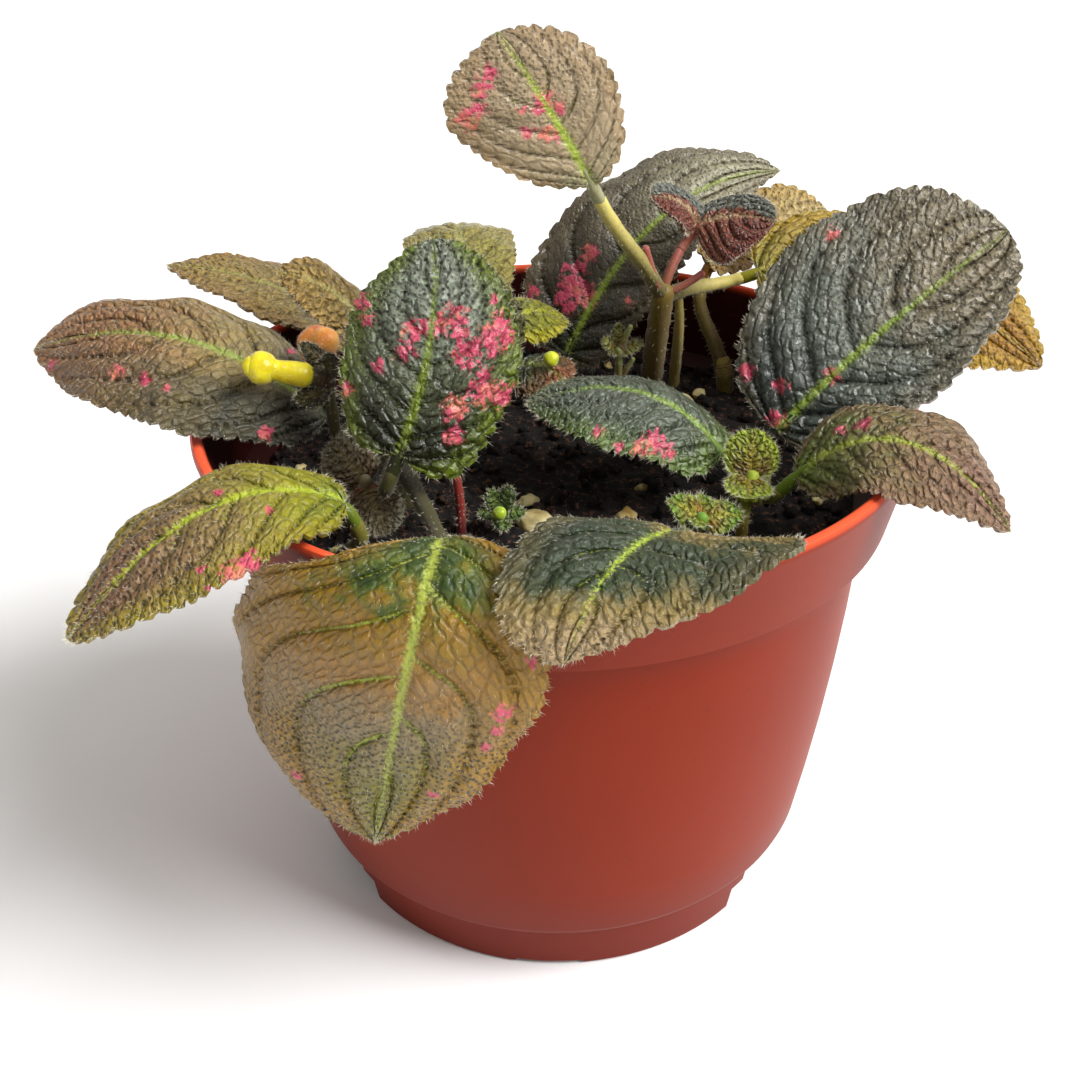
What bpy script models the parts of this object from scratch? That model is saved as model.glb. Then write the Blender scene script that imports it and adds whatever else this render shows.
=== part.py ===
"""Potted flame violet: a bushy house plant with quilted, crenate leaves in a round plastic pot.

Lengths below are millimetres and are scaled to metres as the meshes are made. The pot's axis is Z,
its feet stand on z = 0, and -Y is the front. Every leaf blade comes from one formula: a midrib curve,
an outline with round teeth, and rows that follow the side veins, so that the blade is quilted between
them. The blades are thickened with Solidify and joined to their ribs with Boolean unions. Petioles are
joined to the short stem they grow from, and every stem stands in a plain hole in the soil.
"""
import math

import bmesh
import bpy
import numpy as np
from mathutils import Vector

MM = 0.001
GAP = 0.3            # clearance between pieces that touch in life

# Pot
POT_HEIGHT = 80.0
RIM_RADIUS = 53.0
RIM_HEIGHT = 14.0
RIM_FOOT_RADIUS = 50.0
WALL_TOP_RADIUS = 46.8
WALL_FOOT_RADIUS = 41.2
WALL_BULGE = 0.9     # how far the wall stands out from a straight line half way up
WALL_THICKNESS = 1.8
FOOT_HEIGHT = 10.0
FOOT_TOP_RADIUS = 39.6
FOOT_RADIUS = 38.0
FOOT_THICKNESS = 2.4
FLOOR_UNDERSIDE = 8.6
FLOOR_THICKNESS = 1.8
POT_SEGMENTS = 48
NOTCH_COUNT = 3
NOTCH_WIDTH = 16.0
NOTCH_HEIGHT = 7.6
SLOT_WIDTH = 11.5
SLOT_HEIGHT = 0.9
FOOT_TURN = -3.0     # degrees that the middle of the front foot is turned from the front
DRAIN_RADIUS = 3.0
DRAIN_RING = 29.0

# Soil
SOIL_LEVEL = 67.0
SOIL_RINGS = 6
SOIL_SPOKES = 24
SOIL_ROUGHNESS = 0.8
HOLE_FLOOR = 59.0    # height of the lower end of every stem
COLLAR = 68.6        # height at which a stem has left its hole and may bend

# Leaves
BLADE = 0.7          # blade thickness
ROWS = 20            # rows of faces from base to tip, two to a tooth
VEIN_ROWS = 4        # rows from one side vein to the next
COLUMNS = (-1.0, -0.55, 0.0, 0.55, 1.0)
TOOTH = 0.022        # tooth depth as a part of the blade's width
QUILT = 0.014        # height of the quilting as a part of the blade's width
PETIOLE = 1.0        # radius of a petiole at its blade
RIB = 1.9            # depth of the midrib at the base, blade included
RIB_END = 0.8        # part of the blade's length that the midrib runs along
STUB = 2.2           # length of petiole that belongs to the blade
LEAFLET = 0.65       # thickness of a leaflet

GREEN = (0.055, 0.075, 0.045)
BRONZE = (0.11, 0.085, 0.04)
OLIVE = (0.17, 0.15, 0.03)
LIME = (0.35, 0.42, 0.02)
RED = (0.22, 0.04, 0.03)
YELLOW = (0.72, 0.62, 0.02)
ORANGE = (0.72, 0.2, 0.03)

# Each large blade: base, bend and tip are the control points of its midrib; width is the full width
# with left and right shares; face and tip_face are the upward directions at base and tip; sag bends
# the two halves down, in radians, and a negative sag folds them up; broad is where along the midrib
# the blade is widest; lobe is how far the base lobes reach back; slant leans the widest line.
BLADES = {
    "leaf_front": dict(
        base=(-14, -46.5, 83.8), bend=(-15.5, -64.5, 88.3), tip=(-24, -56, 44), width=41, share=(0.8, 1.34),
        slant=0.22, face=(-0.05, -0.1, 1), tip_face=(-0.1, -1, 0.2), sag=(0.9, 0.1),
        tip_sag=(0.6, 0.8), lobe=0, point=1.75, broad=0.46, rise=0.9, tone=BRONZE),
    "leaf_left_low": dict(
        base=(-27, -33, 81), bend=(-42.5, -36, 91), tip=(-59.5, -50, 72), width=27,
        share=(0.84, 0.68), face=(0, -0.1, 1), tip_face=(-0.3, -0.4, 0.8), sag=(0.1, 0.8),
        tip_sag=(0.5, 0.8), lobe=0.01, point=1.6, broad=0.42, rise=2, tone=OLIVE),
    "leaf_left_long": dict(
        base=(-33, -6, 79.5), bend=(-51, -5, 98.5), tip=(-76.6, 3, 86.6), width=35, share=(0.82, 0.8),
        face=(0, -0.25, 1), tip_face=(0, -0.5, 0.8), sag=(0.35, 1.2), lobe=0.03, point=1.5,
        broad=0.42, tuck=1.1, tone=BRONZE),
    "leaf_rear_left": dict(
        base=(-31, 25, 78.5), bend=(-43.5, 27, 89.5), tip=(-62, 28, 90), width=19, face=(0.1, -0.05, 1),
        sag=(0.1, 0.1), lobe=0.06, point=1.7, broad=0.4, rows=16, tone=OLIVE),
    "leaf_left_small": dict(
        base=(-27.5, 10, 86.5), bend=(-34, 8, 96.5), tip=(-40.5, 8, 96), width=12, face=(0, -0.4, 1),
        sag=(0.5, 0.5), lobe=0.04, point=1.4, broad=0.47, rise=0.6, rows=12, tone=GREEN),
    "leaf_centre": dict(
        base=(-21, -24, 82.5), bend=(-14.5, -20, 97), tip=(-16, -8, 106.5), width=24.5,
        face=(0, -0.9, 0.6), tip_face=(0, -0.7, 0.8), sag=(0.5, 0.5), lobe=0.08, point=1.1,
        broad=0.45, tone=GREEN),
    "leaf_centre_back": dict(
        base=(-17, 0, 79), bend=(-15.5, 2, 90.5), tip=(-16.5, 6, 98), width=25, face=(0, -0.7, 0.6),
        sag=(0.5, 0.5), lobe=0.03, point=1.3, broad=0.47, rows=16, tone=GREEN),
    "leaf_rear_olive": dict(
        base=(-13.5, 27, 78.5), bend=(-15, 40, 98), tip=(-17.5, 63.6, 82), width=19, face=(0, -0.5, 0.8),
        tip_face=(0, 0.5, 1), sag=(0.4, 0.4), lobe=0.04, point=1.3, broad=0.5, rows=16, tone=OLIVE),
    "leaf_rear_large": dict(
        base=(2.5, 27.5, 73.5), bend=(16.5, 33, 103.5), tip=(39, 45, 98.5), width=33, share=(0.85, 0.52),
        face=(-0.2, -0.9, 0.5), tip_face=(-0.2, -0.7, 0.6), sag=(0.2, 0.5), tip_sag=(1.4, 0.5),
        lobe=0.05, point=1.8, broad=0.33, tone=GREEN),
    "leaf_top": dict(
        base=(6, 10, 107.5), bend=(0, 6, 120), tip=(-7, 5, 130), width=23, share=(1.08, 0.88),
        slant=-0.28, face=(0, -0.9, 0.4), sag=(0.2, 0.2), lobe=0, point=1.2, tuck=1.4, broad=0.58,
        tone=BRONZE),
    "leaf_right_large": dict(
        base=(32, -8, 77), bend=(45.5, -6, 92.5), tip=(64.5, 3, 102.5), width=35.5, share=(1, 0.66),
        face=(-0.1, -0.9, 0.5), sag=(0.2, -0.8), lobe=0.02, point=1.05, tuck=0.85, broad=0.5,
        rise=0.5, tone=GREEN),
    "leaf_right_low": dict(
        base=(32.6, -20, 76.4), bend=(45, -25, 93.5), tip=(58.7, -33, 74.8), width=21, share=(0.8, 0.92),
        face=(0, -0.35, 1), tip_face=(0.3, -0.5, 1), sag=(0.4, 0), tip_sag=(0.5, 0.2), lobe=0,
        point=1.8, tuck=1.1, broad=0.42, tone=BRONZE),
    "leaf_front_right": dict(
        base=(14, -42, 81.6), bend=(4.5, -57.5, 90.1), tip=(0, -62.5, 76.6), width=34, share=(0.97, 0.64),
        slant=0.6, face=(0.05, 0, 1), tip_face=(0, -1, 0.4), sag=(-0.5, 0.6), lobe=0.05, point=1.5,
        broad=0.42, tone=GREEN),
    "leaf_middle": dict(
        base=(24, -11, 75.5), bend=(13.5, -7, 89), tip=(-4, -5, 80.5), width=23, face=(0, -0.15, 1),
        sag=(0.5, 1.2), lobe=0.05, point=1.4, broad=0.47, tone=GREEN),
    "leaf_right_rear": dict(
        base=(34, 30, 87), bend=(56.5, 29, 94), tip=(76.5, 12, 77), width=34, share=(0.75, 0.8),
        face=(0, -0.5, 0.9), tip_face=(0.2, -0.6, 0.8), sag=(0.3, -0.6), tip_sag=(0.3, 0.9), lobe=0.05,
        point=1.5, broad=0.47, tone=OLIVE),
    "leaf_far_rear": dict(
        base=(27, 36, 86), bend=(37, 43, 90), tip=(49, 52, 89.5), width=15, share=(1, 0.6),
        face=(0, -0.8, 0.5), sag=(0.2, 0.2), lobe=0.05, point=1.4, broad=0.47, rise=1.5, rows=12,
        tone=OLIVE),
    "leaf_curled": dict(
        base=(-9, 14, 84.5), bend=(-3.5, 17, 88), tip=(2.5, 20, 83), width=13, face=(0, -0.2, 1),
        sag=(0.6, 0.6), lobe=0.04, point=1.4, broad=0.47, rise=0.5, rows=12, tone=LIME),
    "leaf_shaded": dict(
        base=(-6.5, 10, 79), bend=(-2.5, 8, 83), tip=(2.5, 4, 79), width=12, face=(0, -0.3, 1),
        sag=(0.9, 0.5), lobe=0.04, point=1.4, broad=0.47, rise=0.5, rows=12, tone=OLIVE),
}

# Stems standing in the soil: foot and head of each, its radii, and the blades whose petioles it
# bears. A twig is one more bar on the stem: its points and its radius.
STEMS = {
    "stem_left": dict(foot=(-23, -8), head=(-23, -10, 75), radii=(3.2, 2.4), blades=(
        "leaf_front", "leaf_left_long", "leaf_centre")),
    "stem_left_low": dict(foot=(-30, -27), head=(-29.5, -27.5, 69), radii=(1.6, 1.3), blades=(
        "leaf_left_low",)),
    "stem_right": dict(foot=(29, -9), head=(28.5, -12, 72), radii=(2.8, 2.2), blades=(
        "leaf_right_large", "leaf_right_low", "leaf_middle")),
    "stem_front": dict(foot=(11.5, -34), head=(12, -34.5, 71), radii=(1.8, 1.4), blades=(
        "leaf_front_right",)),
    "stem_rear": dict(foot=(0, 23), head=(0, 24, 70), radii=(1.8, 1.4), blades=(
        "leaf_rear_large",)),
    "stem_rear_left": dict(foot=(-20, 15), head=(-20, 14, 73), radii=(2.6, 1.9), blades=(
        "leaf_rear_left", "leaf_left_small", "leaf_centre_back", "leaf_rear_olive", "leaf_curled",
        "leaf_shaded")),
    "stem_rear_right": dict(foot=(29.5, 28), head=(29, 29, 71), radii=(1.6, 1.3), blades=(
        "leaf_far_rear",)),
    "stem_tall": dict(foot=(17, 28), head=(17.7, 22, 86.5), radii=(1.7, 1.5), blades=(
        "leaf_top", "leaf_right_rear"), twigs=(
            (((17.7, 22.2, 85.5), (18.5, 23.5, 89), (20.5, 26, 91.5)), 0.8),
            (((17.7, 22, 86), (16.5, 19, 88), (14.5, 18.5, 95)), 0.6),
            (((17.7, 22, 86), (20, 22, 86.5), (24, 23, 89)), 0.6))),
    "stem_second": dict(foot=(21, 29.5), head=(21.2, 24.6, 82), radii=(1, 0.9), blades=()),
}

# Small growths, each one body: bars (points and radii), then leaflets (base, bend, tip and width).
# Those that have a foot stand in a hole of their own.
SPRIGS = {
    "young_leaves_left": dict(
        foot=(-28, -15), bars=((((-28, -15, COLLAR), (-27.6, -15.4, 71), (-26.8, -15.5, 74.2)), (0.9, 0.9)),),
        leaflets=(((-26.9, -14.6, 73), (-28.5, -15, 76.5), (-31.5, -14, 79.5), 9),
                  ((-26.9, -15.8, 73.4), (-25, -20.5, 72.8), (-23.5, -23.5, 70), 8)), tone=GREEN),
    "young_leaf_right": dict(
        foot=(26, -20), bars=((((26, -20, COLLAR), (26, -20, 71), (27.4, -17.3, 75)), (0.9, 0.9)),),
        leaflets=(((27.4, -17, 74.5), (27.4, -15, 77.5), (27.6, -13, 80), 8),
                  ((27, -17.6, 75), (26.4, -20.5, 75), (26.2, -23, 74.5), 6.8)), tone=OLIVE),
    "rosette_front": dict(
        foot=(20, -33), bars=((((20, -33, COLLAR), (19.5, -34, 74), (18, -36, 79.5)), (0.9, 0.8)),),
        leaflets=(((18, -36, 79), (16, -36, 81.5), (13.5, -36, 82), 4.5),
                  ((18, -36, 79), (18, -35, 81), (18, -33, 81.5), 4),
                  ((18, -36, 79), (20.5, -36, 80.5), (23.5, -36, 79.5), 5),
                  ((18, -36, 79), (17.6, -37.5, 80.5), (17.3, -38.8, 79.8), 3)), tone=OLIVE),
    "shoot_tip": dict(
        bars=((((20.75, 26.3, 91.75), (21.8, 27.5, 92.9), (24, 28, 95)), (0.8, 0.8)),),
        leaflets=(((23.2, 28, 94.5), (28.5, 26, 96), (34.5, 22, 97), 17),
                  ((23.6, 28, 95), (22, 26, 101), (15.5, 24, 101.5), 8)), tone=OLIVE),
    "sprout": dict(
        foot=(11.2, 25), bars=(
            (((11.2, 25, COLLAR), (11.1, 24.5, 72), (11, 23.5, 76)), (0.8, 0.6)),
            (((11.2, 24.8, 69.5), (13.4, 24, 74)), (0.5, 0.4)),
            (((11, 23.8, 75), (12.8, 22.8, 80.3)), (0.5, 0.4))),
        leaflets=(((11, 23.7, 75.4), (11.1, 24, 78.5), (10.9, 24, 80.3), 2.6),
                  ((11, 23.7, 75.4), (9.7, 23, 77), (8.4, 23, 78.2), 2.6),
                  ((11.1, 23.7, 75.4), (13.3, 24.4, 76.5), (15, 24, 77), 2.6)), tone=RED),
    "stalk_red": dict(
        foot=(-13.5, -18.5), bars=((((-13.5, -18.5, COLLAR), (-13.5, -17.5, 72), (-14, -18, 76)), (0.75, 0.7)),),
        leaflets=(), tone=RED),
    "bud_star": dict(
        foot=(-8, -17.2), bars=((((-8, -17.2, COLLAR), (-8, -17.5, 69.5), (-8, -18.2, 70.4)), (0.8, 1.2)),),
        leaflets=(((-8, -18, 70.4), (-9, -18.5, 72.5), (-9.2, -18, 73.8), 2.6),
                  ((-8, -18, 70.4), (-7, -18.5, 72.5), (-6.5, -18, 74.2), 2.6),
                  ((-8, -18, 70.4), (-6, -19, 70.6), (-4.4, -18.6, 70.5), 2.6),
                  ((-8, -18, 70.2), (-7.6, -20, 70), (-7.5, -21, 68.6), 2.6),
                  ((-8, -18, 70.4), (-9.8, -19, 70.7), (-11, -18.6, 70.5), 2.6)), tone=LIME),
    "calyx_yellow": dict(
        foot=(-30.5, -11.5), bars=(
            (((-30.5, -11.5, COLLAR), (-31, -11.5, 80), (-32, -8.8, 86.2)), (0.7, 0.9)),
            (((-31.6, -8.8, 86.3), (-34.3, -9.3, 87.3)), (1.3, 1.4)),
            (((-32, -8.6, 86), (-33.2, -6.1, 87)), (0.6, 0.5))),
        leaflets=(((-32.3, -9.3, 85.9), (-33.5, -11.6, 85), (-36.2, -12.2, 85.4), 3.6),
                  ((-32.2, -8.3, 87), (-33, -7, 89.9), (-35.6, -6.6, 91.2), 3),
                  ((-31.9, -9, 87.2), (-31, -9.6, 89), (-31.6, -10, 91), 3)), tone=LIME),
}

# Round buds: centre, radius and, where it has one, the bar that the bud sits on
BUDS = {
    "bud_yellow": dict(centre=(-40.4, -10, 89), radius=2.25, tone=YELLOW,
                       bar=((-40.4, -10, 89), (-37.5, -10, 88.5), (-34.8, -9.4, 87.5), 1.7)),
    "bud_orange": dict(centre=(-33.8, -2.5, 88.8), radius=3.1, tone=ORANGE),
    "bud_lime": dict(centre=(-0.3, 6, 82.4), radius=1.2, tone=LIME),
    "bud_star_core": dict(centre=(-8, -20.4, 71.2), radius=1, tone=LIME),
}


def vec(point):
    return np.array(point, float)


def unit(vector):
    vector = vec(vector)
    return vector / np.linalg.norm(vector)


def smooth_path(points, steps):
    """Points along the Bezier curve of any degree that the given points control."""
    control = [vec(p) for p in points]
    degree = len(control) - 1
    path = []
    for s in np.linspace(0, 1, steps + 1):
        weights = [math.comb(degree, k) * s**k * (1 - s)**(degree - k) for k in range(degree + 1)]
        path.append(sum(w * p for w, p in zip(weights, control)))
    return path


def material(name, colour, roughness=0.6):
    found = bpy.data.materials.get(name)
    if found:
        return found
    made = bpy.data.materials.new(name)
    made.use_nodes = True
    shader = made.node_tree.nodes["Principled BSDF"]
    shader.inputs["Base Color"].default_value = (*colour, 1)
    shader.inputs["Roughness"].default_value = roughness
    shader.inputs["Metallic"].default_value = 0
    return made


def place(name, mesh, collection, look=None):
    """An object for the mesh, in the plant's collection or among the cutters."""
    thing = bpy.data.objects.new(name, mesh)
    collection.objects.link(thing)
    if look:
        mesh.materials.clear()
        mesh.materials.append(look)
    else:
        thing.hide_render = True
        thing.display_type = "WIRE"
    return thing


def boolean(target, tool, operation):
    modifier = target.modifiers.new(operation.title(), "BOOLEAN")
    modifier.operation = operation
    modifier.object = tool
    modifier.solver = "EXACT"


def tube_mesh(path, radii, sides=6):
    """A round bar along the path whose radius runs evenly between the given radii."""
    curve = bpy.data.curves.new("bar", "CURVE")
    curve.dimensions = "3D"
    curve.bevel_depth = MM
    curve.bevel_resolution = (sides - 4) // 2
    curve.use_fill_caps = True
    spline = curve.splines.new("POLY")
    spline.points.add(len(path) - 1)
    for k, point in enumerate(path):
        spline.points[k].co = (*(point * MM), 1)
        spline.points[k].radius = np.interp(k / (len(path) - 1), np.linspace(0, 1, len(radii)), radii)
    holder = bpy.data.objects.new("bar", curve)
    bpy.context.scene.collection.objects.link(holder)
    bpy.context.view_layer.update()
    mesh = bpy.data.meshes.new_from_object(holder.evaluated_get(bpy.context.evaluated_depsgraph_get()))
    bpy.data.objects.remove(holder)
    bpy.data.curves.remove(curve)
    work = bmesh.new()
    work.from_mesh(mesh)
    bmesh.ops.remove_doubles(work, verts=work.verts, dist=1e-6)
    bmesh.ops.recalc_face_normals(work, faces=work.faces)
    work.to_mesh(mesh)
    work.free()
    return mesh


def outline(t, half, length, leaf):
    """Half width and distance along the midrib of the margin, from base (t = 0) to tip (t = 1)."""
    outer = np.clip((t - 0.5) / 0.5, 0, 1) * math.pi / 2
    inner = np.clip((0.5 - t) / 0.5, 0, 1) * math.pi / 2
    broad = leaf["broad"]
    reach = half * np.where(t >= 0.5, np.cos(outer)**leaf["point"], np.cos(inner)**leaf.get("tuck", 0.9))
    along = np.where(t >= 0.5, broad + (1 - broad) * np.sin(outer), broad * (1 - np.sin(inner)))
    along = along - leaf["lobe"] * np.sin(math.pi * np.clip(t / 0.45, 0, 1))
    return reach, along * length


def blade_points(leaf, rows):
    """Grid of points over the blade: rows follow the side veins, columns run from margin to margin."""
    control = [vec(leaf[key]) for key in ("base", "bend", "tip")]
    fine = smooth_path(control, 200)
    walked = np.concatenate([[0], np.cumsum([np.linalg.norm(b - a) for a, b in zip(fine, fine[1:])])])
    length, half = walked[-1], leaf["width"] / 2
    t, v = np.meshgrid(np.linspace(0, 1, rows + 1), leaf.get("columns", COLUMNS), indexing="ij")
    reach, along = outline(t, half, length, leaf)
    shares = leaf.get("share", (1, 1))
    across = reach * v * np.where(v < 0, shares[0], shares[1])
    rib = length * t**1.5
    forward = rib + (along - rib) * (0.4 * abs(v) + 0.6 * v * v) + leaf.get("slant", 0) * across
    teeth = np.where(np.arange(rows + 1)[:, None] % 2 == 1, 1, -1) * TOOTH * leaf["width"]
    fade = np.sin(math.pi * t)
    teeth = 0.9 * teeth * fade
    across = across + np.where(abs(v) == 1, np.sign(v) * teeth, 0)

    s = np.clip(np.interp(forward, walked, np.linspace(0, 1, 201)), 0, 1)[..., None]
    base, bend, tip = control
    centre = (1 - s)**2 * base + 2 * s * (1 - s) * bend + s**2 * tip
    heading = 2 * (1 - s) * (bend - base) + 2 * s * (tip - bend)
    heading /= np.linalg.norm(heading, axis=-1, keepdims=True)
    centre = centre + heading * np.minimum(forward, 0)[..., None]
    up = (1 - s) * unit(leaf["face"]) + s * unit(leaf.get("tip_face", leaf["face"]))
    side = np.cross(heading, up)
    side /= np.linalg.norm(side, axis=-1, keepdims=True)
    normal = np.cross(side, heading)

    sag, tip_sag = leaf["sag"], leaf.get("tip_sag", leaf["sag"])
    way = s[..., 0]
    bow = np.where(v < 0, sag[0] + (tip_sag[0] - sag[0]) * way, sag[1] + (tip_sag[1] - sag[1]) * way)
    bow = np.where(abs(bow) < 1e-3, 1e-3, bow) / half
    angle = abs(across) * bow
    sideways = np.sign(across) * np.sin(angle) / bow
    lift = -(1 - np.cos(angle)) / bow
    veins = np.cos(2 * math.pi * t * rows / VEIN_ROWS)
    lift = lift - QUILT * leaf["width"] * fade * veins * np.sin(math.pi * abs(v))
    return centre + side * sideways[..., None] + normal * lift[..., None], length


def blade_mesh(leaf, rows):
    """The upper face of the blade, in triangles, narrowing to one point at the base and at the tip."""
    grid, _ = blade_points(leaf, rows)
    work = bmesh.new()
    weights = work.verts.layers.deform.verify()
    middle = grid.shape[1] // 2
    base = work.verts.new(grid[0, middle] * MM)
    tip = work.verts.new(grid[-1, middle] * MM)
    lines = [[work.verts.new(point * MM) for point in row] for row in grid[1:-1]]
    base[weights][0] = 1
    for k, line in enumerate(lines):
        line[middle][weights][0] = max(0, 1 - (k + 1) / rows / RIB_END)
    for k in range(2 * middle):
        work.faces.new((base, lines[0][k + 1], lines[0][k]))
        work.faces.new((tip, lines[-1][k], lines[-1][k + 1]))
        for near, far in zip(lines, lines[1:]):
            work.faces.new((near[k], near[k + 1], far[k + 1], far[k]))
    bmesh.ops.triangulate(work, faces=work.faces)
    mesh = bpy.data.meshes.new("blade")
    work.to_mesh(mesh)
    work.free()
    return mesh


def petiole_heading(leaf):
    """Direction in which the petiole reaches its blade; rise brings it up from below."""
    return unit(unit(vec(leaf["bend"]) - vec(leaf["base"])) + vec((0, 0, leaf.get("rise", 0))))


def under(leaf):
    """From the blade's face to the middle of the petiole below it."""
    return unit(leaf["face"]) * -1.2 * leaf.get("petiole", PETIOLE)


def thicken(thing, blade, rib):
    """Gives the sheet its thickness downwards, with the midrib as a deeper line."""
    thing.vertex_groups.new(name="midrib")
    skin = thing.modifiers.new("Thickness", "SOLIDIFY")
    skin.thickness = rib * MM
    skin.vertex_group = "midrib"
    skin.thickness_vertex_group = blade / rib
    skin.offset = -1


def make_blade(name, leaf, collection, cutters):
    rows = leaf.get("rows", ROWS)
    thing = place(name, blade_mesh(leaf, rows), collection, material(name, leaf["tone"]))
    thicken(thing, BLADE, RIB)
    base = vec(leaf["base"]) + under(leaf)
    grid, _ = blade_points(leaf, rows)
    path = [base - petiole_heading(leaf) * STUB, base, grid[rows // 6, 2] + under(leaf) * 0.6]
    stub = place(name + "_stub", tube_mesh(path, (PETIOLE, PETIOLE, 0.4)), cutters)
    boolean(thing, stub, "UNION")
    return thing


def petiole_path(stem, leaf):
    """A petiole leaves the stem, bends up, and meets its blade end to end across the gap."""
    heading = petiole_heading(leaf)
    end = vec(leaf["base"]) + under(leaf) - heading * (STUB + GAP)
    near = end - heading * 0.8
    start = vec(stem["head"]) - vec((0, 0, 1))
    span = np.linalg.norm(near - start)
    leave = start + (near - start) * 0.3 + vec((0, 0, 0.08 * span))
    return smooth_path((start, leave, near - heading * span * 0.35, near), 5) + [end]


def grounded(foot, points):
    """A path from the floor of a stem's hole straight up to the collar, then along the points."""
    return [vec((*foot, HOLE_FLOOR)), vec((*foot, COLLAR)), *points]


def make_stem(name, stem, collection, cutters):
    path = grounded(stem["foot"], [vec(stem["head"])])
    thing = place(name, tube_mesh(path, stem["radii"], 8), collection, material(name, OLIVE))
    for blade in stem["blades"]:
        bar = tube_mesh(petiole_path(stem, BLADES[blade]), (1.3 * PETIOLE, PETIOLE))
        boolean(thing, place(f"{name}_to_{blade}", bar, cutters), "UNION")
    for k, (points, radius) in enumerate(stem.get("twigs", ())):
        bar = tube_mesh(smooth_path(points, 4), (radius,))
        boolean(thing, place(f"{name}_twig_{k + 1}", bar, cutters), "UNION")
    return thing


def make_sprig(name, sprig, collection, cutters):
    """A small growth: round bars and leaflets joined into one body."""
    points, radii = sprig["bars"][0]
    path = smooth_path(points, 4)
    if "foot" in sprig:
        path = grounded(sprig["foot"], path[1:])
    thing = place(name, tube_mesh(path, radii), collection, material(name, sprig["tone"]))
    for k, (points, radii) in enumerate(sprig["bars"][1:]):
        bar = place(f"{name}_bar_{k + 1}", tube_mesh(smooth_path(points, 3), radii), cutters)
        boolean(thing, bar, "UNION")
    for k, (base, bend, tip, width) in enumerate(sprig["leaflets"]):
        leaf = dict(base=base, bend=bend, tip=tip, width=width, face=(0, -0.6, 1), sag=(0.3, 0.3),
                    lobe=0, point=1.1, tuck=0.6, broad=0.45)
        if width < 6:
            leaf["columns"] = (-1, 0, 1)
        sheet = place(f"{name}_leaflet_{k + 1}", blade_mesh(leaf, 8 if width > 6 else 4), cutters)
        thicken(sheet, LEAFLET, 1.6 * LEAFLET)
        boolean(thing, sheet, "UNION")
    return thing


def make_bud(name, bud, collection, cutters):
    work = bmesh.new()
    bmesh.ops.create_icosphere(work, subdivisions=2, radius=bud["radius"] * MM)
    bmesh.ops.translate(work, vec=Vector(bud["centre"]) * MM, verts=work.verts)
    mesh = bpy.data.meshes.new(name)
    work.to_mesh(mesh)
    work.free()
    thing = place(name, mesh, collection, material(name, bud["tone"]))
    if "bar" in bud:
        *points, radius = bud["bar"]
        boolean(thing, place(name + "_bar", tube_mesh(smooth_path(points, 4), (radius,), 8), cutters),
                "UNION")
    return thing


def wall_radius(z):
    """Outer radius of the wall, which bulges a little between the feet and the rim."""
    up = (z - FOOT_HEIGHT) / (POT_HEIGHT - RIM_HEIGHT - FOOT_HEIGHT)
    return WALL_FOOT_RADIUS + (WALL_TOP_RADIUS - WALL_FOOT_RADIUS) * up + 4 * WALL_BULGE * up * (1 - up)


def make_pot(collection, cutters):
    floor_top = FLOOR_UNDERSIDE + FLOOR_THICKNESS
    rim_base = POT_HEIGHT - RIM_HEIGHT
    profile = [
        (0, floor_top), *((wall_radius(z) - WALL_THICKNESS, z) for z in (floor_top, 28, 47, rim_base)),
        (RIM_FOOT_RADIUS - WALL_THICKNESS, rim_base + 1.2),
        (RIM_RADIUS - WALL_THICKNESS, POT_HEIGHT - 0.6), (RIM_RADIUS - WALL_THICKNESS + 0.6, POT_HEIGHT),
        (RIM_RADIUS - 0.6, POT_HEIGHT), (RIM_RADIUS, POT_HEIGHT - 0.6),
        (RIM_FOOT_RADIUS, rim_base), *((wall_radius(z), z) for z in (rim_base, 47, 28, FOOT_HEIGHT)),
        (FOOT_TOP_RADIUS, FOOT_HEIGHT), (FOOT_RADIUS, 0), (FOOT_RADIUS - FOOT_THICKNESS, 0),
        (FOOT_RADIUS - FOOT_THICKNESS, FLOOR_UNDERSIDE), (0, FLOOR_UNDERSIDE)]
    mesh = bpy.data.meshes.new("pot")
    points = [(r * MM, 0, z * MM) for r, z in profile]
    mesh.from_pydata(points, [(k, k + 1) for k in range(len(points) - 1)], [])
    pot = place("pot", mesh, collection, material("terracotta plastic", (0.42, 0.075, 0.04), 0.5))
    turn = pot.modifiers.new("Turn", "SCREW")
    turn.steps = turn.render_steps = POT_SEGMENTS
    turn.use_merge_vertices = True
    turn.merge_threshold = 1e-5

    for k in range(NOTCH_COUNT):
        foot_angle = math.radians(FOOT_TURN - 90 + 120 * k)
        for size, angle, name in (
                ((14, NOTCH_WIDTH, 2 * NOTCH_HEIGHT), foot_angle + math.radians(60), "notch"),
                ((14, SLOT_WIDTH, 2 * SLOT_HEIGHT), foot_angle, "slot")):
            work = bmesh.new()
            bmesh.ops.create_cube(work, size=1)
            bmesh.ops.scale(work, vec=Vector(size) * MM, verts=work.verts)
            block = bpy.data.meshes.new(name)
            work.to_mesh(block)
            work.free()
            cutter = place(f"pot_{name}_{k + 1}", block, cutters)
            cutter.location = (FOOT_RADIUS * MM * math.cos(angle), FOOT_RADIUS * MM * math.sin(angle), 0)
            cutter.rotation_euler.z = angle
            boolean(pot, cutter, "DIFFERENCE")
        angle = foot_angle + math.radians(60)
        middle = vec((DRAIN_RING * math.cos(angle), DRAIN_RING * math.sin(angle), floor_top))
        lift = vec((0, 0, 4))
        drain = place(f"pot_drain_{k + 1}", tube_mesh([middle - lift, middle + lift], (DRAIN_RADIUS,), 12),
                      cutters)
        boolean(pot, drain, "DIFFERENCE")
    return pot


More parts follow.
